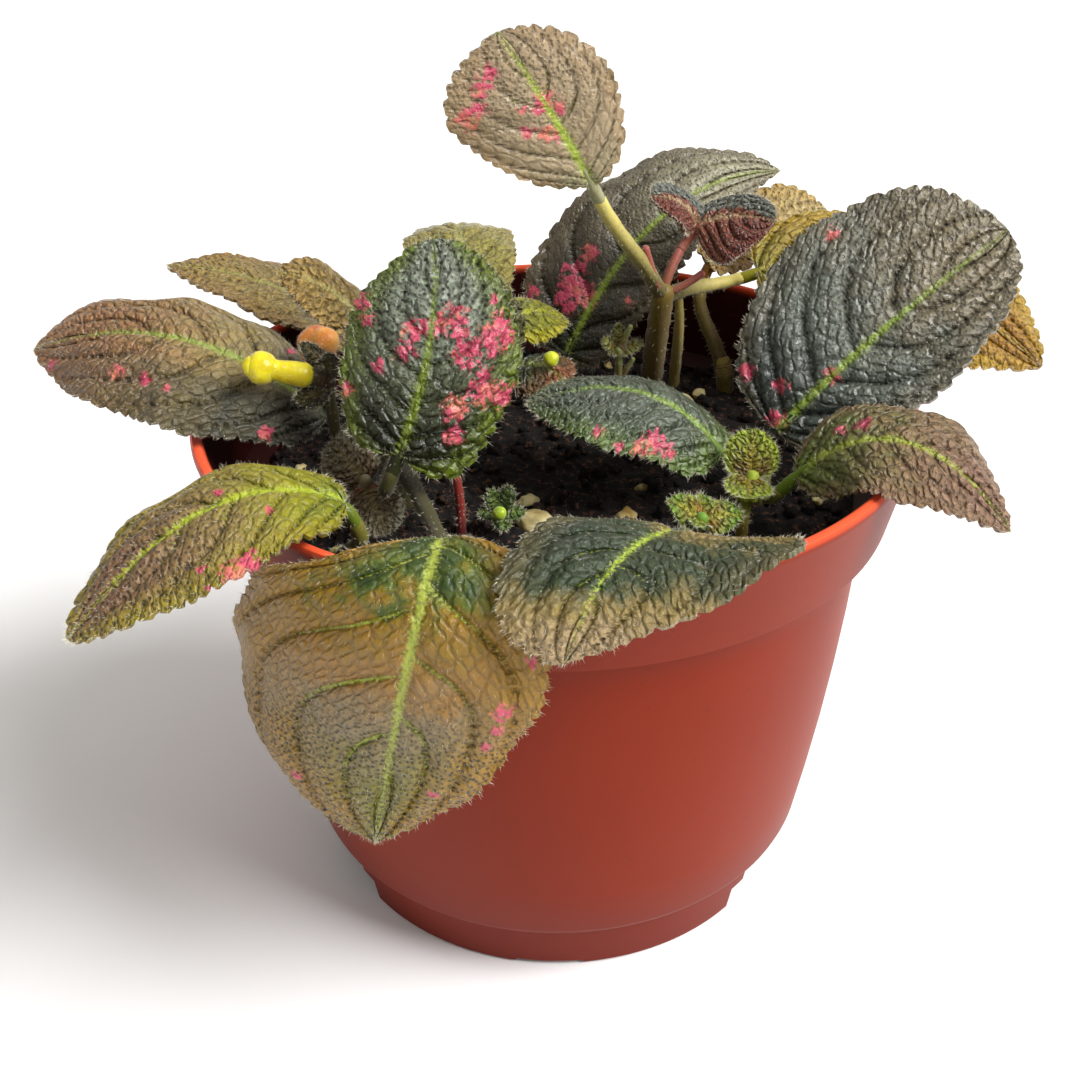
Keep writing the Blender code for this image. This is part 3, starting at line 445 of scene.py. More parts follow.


# %% [markdown]
# ## Finish: the leaf's upper face
# The upper face of a living leaf is a waxy skin over coloured tissue. It shows a soft gloss on the bulges
# and a fine pitting, one small hollow at the foot of each hair, every 0.7 mm or so. The colour runs from
# green at the base to bronze at the tip, the midrib and the roots of the side veins are lime, and some
# leaves carry splashes of pink. Shade is painted in as well: the hollows between the bulges, the creases,
# the sunken side veins and the pits are painted darker. The numbers stored at each point say where each of
# these belongs, and noise frays their edges so that nothing looks sprayed on.

# %% Leaf finishes
def leaf_skin(name, leaf):
    made, tree, shader = new_material(name + "_leaf_skin", leaf["roughness"], **{
        "Coat Weight": leaf["coat"], "Coat Roughness": 0.2, "Coat IOR": 1.5, "Sheen Weight": 0.03})
    flat, net = (add(tree, "Attribute", attribute_name=value).outputs["Vector"] for value in VECTORS)
    reach, edge, vein, groove, patch = (
        add(tree, "Attribute", attribute_name=value).outputs["Fac"] for value in VALUES)
    blotch = add(tree, "TexNoise", {"Vector": flat, "Scale": 0.28, "Detail": 3}).outputs["Fac"]
    speck = add(tree, "TexNoise", {"Vector": flat, "Scale": 2.4, "Detail": 2, "Roughness": 0.6}).outputs["Fac"]
    wander = add(tree, "Math", {0: blotch, 1: 0.4, 2: reach}, operation="MULTIPLY_ADD").outputs[0]
    ramp = add(tree, "ValToRGB", {"Fac": wander})
    while len(ramp.color_ramp.elements) < len(leaf["colours"]):
        ramp.color_ramp.elements.new(0.5)
    for element, (place, code) in zip(ramp.color_ramp.elements, leaf["colours"]):
        element.position = place * 0.8 + 0.2
        element.color = linear(code)

    # the tissue between the side veins, in blocks of about 2.5 mm, with a pit at the foot of each hair
    swirl = add(tree, "TexNoise", {"Vector": flat, "Scale": 0.55, "Detail": 2}).outputs["Color"]
    swirl = add(tree, "VectorMath", {0: swirl, 1: (0.8, 0.8, 0), 2: net}, operation="MULTIPLY_ADD").outputs[0]
    cell = add(tree, "TexVoronoi", {"Vector": swirl, "Scale": 1, "Randomness": 0.7}, voronoi_dimensions="2D",
               feature="DISTANCE_TO_EDGE").outputs["Distance"]
    block = add(tree, "MapRange", {0: cell, 1: 0.0, 2: 0.3}, interpolation_type="SMOOTHSTEP").outputs[0]
    crease_shade = add(tree, "MapRange", {0: cell, 1: 0.1, 2: 0.02, 3: 0.0, 4: leaf["seam"]}).outputs[0]
    dots = add(tree, "TexVoronoi", {"Vector": flat, "Scale": 1.3, "Randomness": 0.8},
               voronoi_dimensions="2D").outputs["Distance"]
    pit = add(tree, "MapRange", {0: dots, 1: 0.34, 2: 0.18}, interpolation_type="SMOOTHSTEP").outputs[0]
    where = add(tree, "MapRange", {0: reach, 1: leaf["pits"], 2: leaf["pits"] + 0.3}).outputs[0]
    pitted = add(tree, "Math", {0: pit, 1: where}, operation="MULTIPLY").outputs[0]

    # from the tissue up: the tone of the margin, the pink splashes, the painted shade in the hollows, creases, sunken
    # veins and pits, the lime veins
    frayed = add(tree, "Math", {0: edge, 1: blotch}, operation="MULTIPLY").outputs[0]
    frayed = add(tree, "Math", {0: frayed, 1: leaf["edge_strength"]}, operation="MULTIPLY", use_clamp=True)
    rimmed = add(tree, "Mix", {0: frayed.outputs[0], 6: ramp.outputs["Color"], 7: linear(leaf["edge"])},
                 data_type="RGBA")
    coarse = add(tree, "TexNoise", {"Vector": flat, "Scale": 1.0, "Detail": 4, "Roughness": 0.7}).outputs["Fac"]
    frayed = add(tree, "Math", {0: coarse, 1: 3.2, 2: patch}, operation="MULTIPLY_ADD").outputs[0]
    splash = add(tree, "MapRange", {0: frayed, 1: 1.9, 2: 2.2, 3: 0.0, 4: 0.95}).outputs[0]
    present = add(tree, "MapRange", {0: patch, 1: 0.02, 2: 0.3}).outputs[0]
    splash = add(tree, "Math", {0: splash, 1: present}, operation="MULTIPLY").outputs[0]
    share = add(tree, "MapRange", {0: blotch, 1: 0.5, 2: 0.66}).outputs[0]
    pinks = add(tree, "Mix", {0: share, 6: linear("#d24868"), 7: linear("#e08264")},
                data_type="RGBA")
    splashed = add(tree, "Mix", {0: splash, 6: rimmed.outputs[2], 7: pinks.outputs[2]}, data_type="RGBA")
    # painted shade: the hollows between the blocks, their creases, the sunken side veins and the pits are darkened
    # towards a near black brown
    hollow_shade = add(tree, "Math", {0: block, 1: -0.2, 2: 0.2}, operation="MULTIPLY_ADD").outputs[0]
    dark = add(tree, "Math", {0: crease_shade, 1: hollow_shade}, operation="ADD").outputs[0]
    dark = add(tree, "Math", {0: groove, 1: 0.42, 2: dark}, operation="MULTIPLY_ADD").outputs[0]
    dark = add(tree, "Math", {0: pitted, 1: leaf["pit"], 2: dark}, operation="MULTIPLY_ADD", use_clamp=True).outputs[0]
    less = add(tree, "Math", {0: splash, 1: -0.6, 2: 1}, operation="MULTIPLY_ADD").outputs[0]
    dark = add(tree, "Math", {0: dark, 1: less}, operation="MULTIPLY").outputs[0]
    shaded = add(tree, "Mix", {0: dark, 6: splashed.outputs[2], 7: linear("#1c1408")},
                 data_type="RGBA")
    grain = add(tree, "Math", {0: speck, 1: 1.5, 2: -0.75}, operation="MULTIPLY_ADD").outputs[0]
    frayed = add(tree, "Math", {0: grain, 1: vein}, operation="ADD").outputs[0]
    lime = add(tree, "MapRange", {0: frayed, 1: 0.36, 2: 0.72, 3: 0.0, 4: 0.9}).outputs[0]
    present = add(tree, "MapRange", {0: vein, 1: 0.04, 2: 0.16}).outputs[0]
    lime = add(tree, "Math", {0: lime, 1: present}, operation="MULTIPLY").outputs[0]
    veined = add(tree, "Mix", {0: lime, 6: shaded.outputs[2], 7: linear(leaf["vein"])},
                 data_type="RGBA")
    tree.links.new(veined.outputs[2], shader.inputs["Base Color"])

    # the heights add up in millimetres
    level = add(tree, "Math", {0: block, 1: leaf["pucker"], 2: 0}, operation="MULTIPLY_ADD").outputs[0]
    level = add(tree, "Math", {0: pitted, 1: -0.14, 2: level}, operation="MULTIPLY_ADD").outputs[0]
    level = add(tree, "Math", {0: coarse, 1: leaf["coarse"], 2: level}, operation="MULTIPLY_ADD").outputs[0]
    level = add(tree, "Math", {0: groove, 1: -0.45, 2: level}, operation="MULTIPLY_ADD").outputs[0]
    bump = add(tree, "Bump", {"Strength": 1, "Distance": MM, "Height": level})
    for value in ("Normal", "Coat Normal"):
        tree.links.new(bump.outputs[0], shader.inputs[value])
    return made


def leaf_underside(name, colour, veins):
    made, tree, shader = new_material(name, 0.62, 1.4, **{"Sheen Weight": 0.3})
    flat = add(tree, "Attribute", attribute_name="flat").outputs["Vector"]
    vein, groove = (add(tree, "Attribute", attribute_name=value).outputs["Fac"] for value in ("vein", "groove"))
    raised = add(tree, "Math", {0: groove, 1: 0.6, 2: vein}, operation="MULTIPLY_ADD", use_clamp=True).outputs[0]
    speck = add(tree, "TexNoise", {"Vector": flat, "Scale": 1.2, "Detail": 3}).outputs["Fac"]
    mottled = add(tree, "Mix", {0: speck, 6: linear(colour), 7: linear("#8a5a4c")}, data_type="RGBA")
    netted = add(tree, "Mix", {0: raised, 6: mottled.outputs[2], 7: linear(veins)}, data_type="RGBA")
    tree.links.new(netted.outputs[2], shader.inputs["Base Color"])
    level = add(tree, "Math", {0: raised, 1: speck}, operation="ADD").outputs[0]
    bump = add(tree, "Bump", {"Strength": 0.6, "Distance": 0.3 * MM, "Height": level})
    tree.links.new(bump.outputs[0], shader.inputs["Normal"])
    return made


underside = leaf_underside("maroon_leaf_underside", "#5a2a26", "#b9a07c")
fuzz_finish, tree, shader = new_material("white_plant_hair", 0.6, 1.5, **{"Sheen Weight": 0.4})
flat = add(tree, "Attribute", attribute_name="flat").outputs["Vector"]
along = add(tree, "TexNoise", {"Vector": flat, "Scale": 0.6})
tone = add(tree, "Mix", {0: along.outputs["Fac"], 6: linear("#b7ad8d"), 7: linear("#ece6d2")}, data_type="RGBA")
tree.links.new(tone.outputs[2], shader.inputs["Base Color"])

# %% [markdown]
# ## Finish: stems
# A petiole is a fleshy green stalk with a furry skin. The colour changes along it, fine streaks run with
# its length and it has a weak gloss.

# %% Stem finish
def stem_skin(name, low, high):
    made, tree, shader = new_material(name + "_skin", 0.5, 1.4, **{"Sheen Weight": 0.2})
    flat = add(tree, "Attribute", attribute_name="flat").outputs["Vector"]
    reach = add(tree, "Attribute", attribute_name="reach").outputs["Fac"]
    speck = add(tree, "TexNoise", {"Vector": flat, "Scale": 1.1, "Detail": 4, "Roughness": 0.65}).outputs["Fac"]
    share = add(tree, "Math", {0: speck, 1: 0.5, 2: reach}, operation="MULTIPLY_ADD").outputs[0]
    along = add(tree, "MapRange", {0: share, 1: 0.2, 2: 1.2}).outputs[0]
    tone = add(tree, "Mix", {0: along, 6: linear(low), 7: linear(high)}, data_type="RGBA")
    dots = add(tree, "MapRange", {0: speck, 1: 0.58, 2: 0.72, 3: 0.0, 4: 0.35}).outputs[0]
    dotted = add(tree, "Mix", {0: dots, 6: tone.outputs[2], 7: linear("#6b3a22")}, data_type="RGBA")
    tree.links.new(dotted.outputs[2], shader.inputs["Base Color"])
    bump = add(tree, "Bump", {"Strength": 0.5, "Distance": 0.15 * MM, "Height": speck})
    tree.links.new(bump.outputs[0], shader.inputs["Normal"])
    return made

# %% [markdown]
# ## The eighteen blades
# Each blade keeps the lengths of its solid: base, bend and tip steer the midrib, width and share set how
# wide each half is, and face and sag say how it is turned and how its halves hang. The second table says
# how each one looks. Patches are pink splashes, each by its place on the flat leaf and its radius. What
# most blades share stands once in front, so each line tells only what its own blade needs.

# %% Blade sizes
# what a blade has unless its own line in the tables says otherwise
USUAL = dict(
    share=(1, 1), slant=0, sag=(0.5, 0.5), lobe=0.05, point=1.4, tuck=0.9, broad=0.47, rise=0,  # its outline
    tooth_pitch=2.4, tooth=1.0, quilt=0.032, block=1.8, wave=0.5, fringe=1.2,  # its teeth, bulges and fur, in mm
    lime=1.0, branch=0.5, margin=0.55, folded=0, fade=9, by_height=False, patches=(),  # where its colours lie
    # on the last line, the crease and pit numbers set how dark the painted shade in creases and pits is
    roughness=0.36, coat=0.5, seam=0.14, pucker=0.4, coarse=0.5, pit=0.28, pits=0.2, edge_strength=1.5)


def blade(base, bend, tip, width, face, **own):
    return {**USUAL, "base": base, "bend": bend, "tip": tip, "width": width, "face": face, **own}


LEAVES = {
    "leaf_front": blade((-14, -46.5, 83.8), (-15.5, -64.5, 88.3), (-24, -56, 44), 41, (-0.05, -0.1, 1),
        share=(0.8, 1.34), slant=0.22, tip_face=(-0.1, -1, 0.2), sag=(0.9, 0.1), tip_sag=(0.6, 0.8), lobe=0,
        point=1.75, broad=0.46, rise=0.9),
    "leaf_left_low": blade((-27, -33, 81), (-42.5, -36, 91), (-59.5, -50, 72), 27, (0, -0.1, 1), share=(0.84, 0.68),
        tip_face=(-0.3, -0.4, 0.8), sag=(0.1, 0.8), tip_sag=(0.5, 0.8), lobe=0.01, point=1.6, broad=0.42, rise=2),
    "leaf_left_long": blade((-33, -6, 79.5), (-51, -5, 98.5), (-76.6, 3, 86.6), 35, (0, -0.25, 1), share=(0.82, 0.8),
        tip_face=(0, -0.5, 0.8), sag=(0.35, 1.2), lobe=0.03, point=1.5, broad=0.42, tuck=1.1),
    "leaf_rear_left": blade((-31, 25, 78.5), (-43.5, 27, 89.5), (-62, 28, 90), 19, (0.1, -0.05, 1), sag=(0.1, 0.1),
        lobe=0.06, point=1.7, broad=0.4),
    "leaf_left_small": blade((-27.5, 10, 86.5), (-34, 8, 96.5), (-40.5, 8, 96), 12, (0, -0.4, 1), lobe=0.04, rise=0.6),
    "leaf_centre": blade((-21, -24, 82.5), (-14.5, -20, 97), (-16, -8, 106.5), 24.5, (0, -0.9, 0.6),
        tip_face=(0, -0.7, 0.8), lobe=0.08, point=1.1, broad=0.45),
    "leaf_centre_back": blade((-17, 0, 79), (-15.5, 2, 90.5), (-16.5, 6, 98), 25, (0, -0.7, 0.6), lobe=0.03,
        point=1.3),
    "leaf_rear_olive": blade((-13.5, 27, 78.5), (-15, 40, 98), (-17.5, 63.6, 82), 19, (0, -0.5, 0.8),
        tip_face=(0, 0.5, 1), sag=(0.4, 0.4), lobe=0.04, point=1.3, broad=0.5),
    "leaf_rear_large": blade((2.5, 27.5, 73.5), (16.5, 33, 103.5), (39, 45, 98.5), 33, (-0.2, -0.9, 0.5),
        share=(0.85, 0.52), tip_face=(-0.2, -0.7, 0.6), sag=(0.2, 0.5), tip_sag=(1.4, 0.5), point=1.8, broad=0.33),
    "leaf_top": blade((6, 10, 107.5), (0, 6, 120), (-7, 5, 130), 23, (0, -0.9, 0.4), share=(1.08, 0.88), slant=-0.28,
        sag=(0.2, 0.2), lobe=0, point=1.2, tuck=1.4, broad=0.58),
    "leaf_right_large": blade((32, -8, 77), (45.5, -6, 92.5), (64.5, 3, 102.5), 35.5, (-0.1, -0.9, 0.5),
        share=(1, 0.66), sag=(0.2, -0.8), lobe=0.02, point=1.05, tuck=0.85, broad=0.5, rise=0.5),
    "leaf_right_low": blade((32.6, -20, 76.4), (45, -25, 93.5), (58.7, -33, 74.8), 21, (0, -0.35, 1),
        share=(0.8, 0.92), tip_face=(0.3, -0.5, 1), sag=(0.4, 0), tip_sag=(0.5, 0.2), lobe=0, point=1.8, tuck=1.1,
        broad=0.42),
    "leaf_front_right": blade((14, -42, 81.6), (4.5, -57.5, 90.1), (0, -62.5, 76.6), 34, (0.05, 0, 1),
        share=(0.97, 0.64), slant=0.6, tip_face=(0, -1, 0.4), sag=(-0.5, 0.6), point=1.5, broad=0.42),
    "leaf_middle": blade((24, -11, 75.5), (13.5, -7, 89), (-4, -5, 80.5), 23, (0, -0.15, 1), sag=(0.5, 1.2)),
    "leaf_right_rear": blade((34, 30, 87), (56.5, 29, 94), (76.5, 12, 77), 34, (0, -0.5, 0.9), share=(0.75, 0.8),
        tip_face=(0.2, -0.6, 0.8), sag=(0.3, -0.6), tip_sag=(0.3, 0.9), point=1.5),
    "leaf_far_rear": blade((27, 36, 86), (37, 43, 90), (49, 52, 89.5), 15, (0, -0.8, 0.5), share=(1, 0.6),
        sag=(0.2, 0.2), rise=1.5),
    "leaf_curled": blade((-9, 14, 84.5), (-3.5, 17, 88), (2.5, 20, 83), 13, (0, -0.2, 1), sag=(0.6, 0.6), lobe=0.04,
        rise=0.5),
    "leaf_shaded": blade((-6.5, 10, 79), (-2.5, 8, 83), (2.5, 4, 79), 12, (0, -0.3, 1), sag=(0.9, 0.5), lobe=0.04,
        rise=0.5),
}

# %% Blade colours
def look(tones, edge, vein="#96a534", **own):
    """The tones from base to tip, each after its place, then those of the margin and the veins."""
    words = tones.split()
    return {"colours": [(float(place), code) for place, code in zip(words[::2], words[1::2])],
            "edge": edge, "vein": vein, **own}


LOOKS = {
    # the dark greens at the top of leaf_front are partly its own base green, partly painted shadow
    "leaf_front": look("0 #32480e 0.07 #566410 0.16 #8a6c04 0.4 #9a702c 0.62 #8a7852 1 #7c7410", "#9a720a", "#a8b444",
        margin=0.3, pit=0.6, pits=0.3, branch=0.8, by_height=True, seam=0.08, quilt=0.024, edge_strength=2.2,
        pucker=0.2, coat=0.2, coarse=0.4, patches=((-12, 22, 0.8), (-12, 25, 0.5), (-14, 15, 0.5), (-11, 28, 0.5),
        (12, 43, 0.5), (-6, 37, 0.4))),
    "leaf_left_low": look("0 #5a6a00 0.42 #8e8a00 0.68 #8c763a 1 #7e5c42", "#948600", "#a4b21e", pit=0.5, pits=0.35,
        coat=0.25, pucker=0.2, seam=0.06, coarse=0.4, fringe=1.5, patches=((-11, 17, 1.3), (-11, 20, 1),
        (-11, 24, 0.5), (-8, 23, 0.4), (2, 16, 0.4), (-4, 11, 0.4))),
    # leaf_left_long: the dark margin tone lies over its near half, as painted shade
    "leaf_left_long": look("0 #22261c 0.3 #4c4a32 0.6 #8e7a42 1 #97683c", "#3a3a2c", "#899a3c", folded=-1, fade=1.5,
        edge_strength=1.7, pits=0.45, branch=0.2, pucker=0.28, patches=((-8, 26, 0.7), (-7, 31, 0.7), (-9, 22, 0.4),
        (-4, 44, 0.6), (-9, 6, 0.7), (8, 9, 0.5))),
    "leaf_rear_left": look("0 #34382a 0.4 #5e5a34 0.65 #8d762f 1 #9a7e31", "#957028", "#95923f", branch=0.2, seam=0.15,
        pucker=0.25, quilt=0.02),
    "leaf_left_small": look("0 #6c5c29 1 #9e8039", "#a68541", "#a69b5a", seam=0.2),
    # leaf_centre: its pale grey-green tip is partly its own colour, partly painted gloss
    "leaf_centre": look("0 #282c00 0.3 #1a2004 0.6 #4e5539 1 #7c8573", "#5e6e04", "#708216", edge_strength=2.2,
        fringe=1.6, pit=0.5, pits=0.3, roughness=0.31, seam=0.3, pucker=0.36, coarse=0.35, block=2.0,
        patches=((-10, 21, 0.9), (-9, 18, 0.7), (-6, 11, 0.7), (-10, 6, 0.7), (-2, 17, 1), (-3, 14, 0.9), (1, 18, 0.9),
        (3, 19, 1.1), (4, 17, 0.7), (9, 19, 1), (8, 17, 1.2), (5, 15, 1.2), (10, 18, 0.7), (8, 11, 1.2), (11, 11, 0.9),
        (5, 8, 1), (6, 5, 0.8), (8, 22, 0.4), (8, 13, 0.6))),
    "leaf_centre_back": look("0 #242809 1 #474e2f", "#635f23", "#7e8646"),
    "leaf_rear_olive": look("0 #5c5c00 0.6 #8d8423 1 #9b8a34", "#9a8b38", "#95923f", branch=0.2, seam=0.1, pucker=0.2),
    # leaf_rear_large: its pale tip is partly its own grey-green, partly painted sheen
    "leaf_rear_large": look("0 #283420 0.35 #2a2618 0.7 #564e3a 1 #928d6f", "#685c43", "#899e28", branch=0.3, pits=0.4,
        seam=0.08, pucker=0.07, quilt=0.02, coarse=0.3, patches=((-5, 16, 0.9), (-5, 13, 0.8), (-7, 12, 0.5),
        (-4, 10, 1.6), (-5, 8, 1), (-1, 10, 1), (-3, 7, 0.8), (-10, 6, 0.7), (5, 13, 0.5))),
    "leaf_top": look("0 #98966e 0.4 #ac9876 1 #a48e6c", "#a2865e", "#a3b93a", pits=0.4, seam=0.08, pucker=0.09,
        quilt=0.013, coarse=0.3, patches=((-4, 23, 0.8), (-6, 22, 0.8), (-8, 20, 0.8), (-10, 20, 0.8), (-10, 18, 0.5),
        (0, 15, 1), (-1, 15, 0.7), (1, 13, 0.7), (-2, 11, 0.7), (-1, 10, 0.6), (-4, 13, 0.6), (-3, 16, 0.4))),
    # leaf_right_large: its grey middle tones are partly a dark slate green, partly painted gloss
    "leaf_right_large": look("0 #141a10 0.3 #3b433e 0.6 #6c7469 0.85 #726c58 1 #80745a", "#746a52", "#7f9529",
        pits=0.3, roughness=0.31, branch=0.15, seam=0.3, edge_strength=1.1, coarse=0.28, block=2.1, pucker=0.26,
        patches=((-9, 3, 0.7), (-4, 5, 0.7), (-1, 1, 0.9), (0, 11, 0.7), (-15, 24, 0.6))),
    "leaf_right_low": look("0 #617809 0.48 #666c2c 0.75 #846a42 1 #866048", "#8c6a4a", "#9daa31", pits=0.4, branch=0.4,
        patches=((-3, 11, 0.8), (-3, 8, 0.5))),
    "leaf_front_right": look("0 #1e2e16 0.38 #2c3c18 0.56 #8a763a 1 #a88e66", "#9a8450", "#afc534", pits=0.5,
        by_height=True, edge_strength=0.5, seam=0.12, quilt=0.024, lime=0.75, pucker=0.25, coat=0.35),
    "leaf_middle": look("0 #5c7800 0.22 #46581a 0.45 #38462e 1 #4a5844", "#5a741a", "#759027", pits=0.35, fringe=1.7,
        coat=0.9, coarse=0.35, roughness=0.31, branch=0.2, pucker=0.2, quilt=0.022, patches=((-8, 10, 1.2),
        (-8, 7, 0.8), (-10, 12, 0.9), (-11, 16, 0.6), (-9, 20, 0.6))),
    "leaf_right_rear": look("0 #888500 0.5 #9d7b00 1 #a17100", "#b99500", "#aa9a31", branch=0.3, seam=0.12,
        pucker=0.25),
    "leaf_far_rear": look("0 #8a5a08 0.5 #a8842e 1 #b39a5c", "#ac8c3c", "#b9b16b", seam=0.1, pucker=0.2),
    "leaf_curled": look("0 #6e7600 1 #959500", "#b9ab00", "#b1b410"),
    "leaf_shaded": look("0 #1e2c0a 0.55 #26360e 0.8 #4a4410 1 #824109", "#7a460c", "#6d781d"),
}

# %% Make the blades
PETIOLE, STUB, GAP = 1.0, 2.2, 0.3  # its radius, the blade's own length of it and the gap to the stem's, in mm


def petiole_heading(leaf):
    return unit(unit(np.array(leaf["bend"], float) - leaf["base"]) + np.array((0, 0, leaf["rise"])))


def below(leaf):
    return unit(leaf["face"]) * -1.2 * PETIOLE


def leaf_piece(name):
    leaf = {**LEAVES[name], **LOOKS[name]}
    parts = blade_parts(leaf)
    base = np.array(leaf["base"], float) + below(leaf)
    heading = petiole_heading(leaf)
    inner, _ = bend_up(leaf, np.zeros(1), np.full(1, 3.2), np.zeros(1))
    path = smooth((base - heading * (STUB + GAP), base - heading, base, inner[0] + below(leaf) * 0.6), 10)
    parts += bar(path, (PETIOLE, PETIOLE, 0.5), fuzz=1.2, slot=3)
    green = leaf["colours"][0][1]
    stalk = stem_skin("petiole_of_" + name, green, green)
    return make_piece(name, parts, (leaf_skin(name, leaf), underside, fuzz_finish, stalk), [name])


for name in LEAVES:
    made = leaf_piece(name)
print("blades:", len(LEAVES), "triangles in the last:", sum(len(p.vertices) - 2 for p in made.data.polygons))

# %% [markdown]
# ## Stems
# Short thick stems stand in the soil and bear the petioles. Each petiole leaves its stem low down, bends
# upwards and ends under its blade.

# %% Stems
BURIED, COLLAR = 60, 68.6  # between these heights a stem stands straight in its hole in the soil
STEMS = {
    "stem_left": dict(foot=(-23, -8), head=(-23, -10, 75), radii=(3.2, 2.4),
        blades=("leaf_front", "leaf_left_long", "leaf_centre"), look=("#2a220a", "#464418")),
    "stem_left_low": dict(foot=(-30, -27), head=(-29.5, -27.5, 69), radii=(1.6, 1.3), blades=("leaf_left_low",),
        look=("#3c3210", "#6a6416")),
    "stem_right": dict(foot=(29, -9), head=(28.5, -12, 72), radii=(2.8, 2.2),
        blades=("leaf_right_large", "leaf_right_low", "leaf_middle"), look=("#44380f", "#7a7a26")),
    "stem_front": dict(foot=(11.5, -34), head=(12, -34.5, 71), radii=(1.8, 1.4), blades=("leaf_front_right",),
        look=("#3c3210", "#5c6020")),
    "stem_rear": dict(foot=(0, 23), head=(0, 24, 70), radii=(1.8, 1.4), blades=("leaf_rear_large",),
        look=("#4c4a14", "#8c9040")),
    "stem_rear_left": dict(foot=(-20, 15), head=(-20, 14, 73), radii=(2.6, 1.9),
        look=("#3c3a10", "#7a7a2c"),
        blades=("leaf_rear_left", "leaf_left_small", "leaf_centre_back", "leaf_rear_olive", "leaf_curled",
        "leaf_shaded")),
    "stem_rear_right": dict(foot=(29.5, 28), head=(29, 29, 71), radii=(1.6, 1.3), blades=("leaf_far_rear",),
        look=("#3c3210", "#8c7a34")),
    "stem_tall": dict(foot=(17, 28), head=(17.7, 22, 86.5), radii=(1.9, 1.8), blades=("leaf_top", "leaf_right_rear"),
        look=("#3a2c08", "#cfc068"), trunk=("#443408", "#7a6420"), twigs=((((17.7, 22.2, 85.5), (18.5, 23.5, 89),
        (20.5, 26, 91.5)), 0.8), (((17.7, 22, 86), (16.5, 19, 88), (14.5, 18.5, 95)), 0.6), (((17.7, 22, 86),
        (20, 22, 86.5), (24, 23, 89)), 0.6))),
    "stem_second": dict(foot=(21, 29.5), head=(21.3, 25.2, 80), radii=(1, 0.9, 0.6), beyond=((20.4, 24.4, 85.5),),
        look=("#6c5c24", "#a09048")),
}


def petiole_path(stem, leaf):
    heading = petiole_heading(leaf)
    end = np.array(leaf["base"], float) + below(leaf) - heading * (STUB + GAP)
    near = end - heading * 0.8
    start = np.array(stem["head"], float) - (0, 0, 1)
    span = np.linalg.norm(near - start)
    leave = start + (near - start) * 0.3 + (0, 0, 0.08 * span)
    return np.concatenate([smooth((start, leave, near - heading * span * 0.35, near), 22), [end]])


for name, stem in STEMS.items():
    foot = [(*stem["foot"], z) for z in (BURIED, COLLAR)]
    top = [stem["head"], *stem.get("beyond", ())]
    path = np.concatenate([smooth(foot, 4)[:-1], smooth((foot[-1], *top), 12)])
    parts = bar(path, stem["radii"], sides=16, fuzz=0.7, knobs=0.06)
    for blade_name in stem.get("blades", ()):
        parts += bar(petiole_path(stem, LEAVES[blade_name]), (1.3 * PETIOLE, PETIOLE), fuzz=1.6, slot=1)
    for points, radius in stem.get("twigs", ()):
        parts += bar(smooth(points, 12), (radius,), fuzz=1.5, slot=3)
    skins = [stem_skin(name, *stem.get("trunk", stem["look"])), stem_skin(name + "_petioles", *stem["look"]),
             fuzz_finish]
    if "twigs" in stem:
        skins.append(stem_skin("young_twigs", "#8a5a34", "#9a5044"))
    make_piece(name, parts, skins, [name])
print("stems:", len(STEMS))

# %% [markdown]
# ## Young growth
# Rosettes and young leaves are the same blades, small and thick, with much more fur for their size, and
# some are brown in the middle with a lime margin.

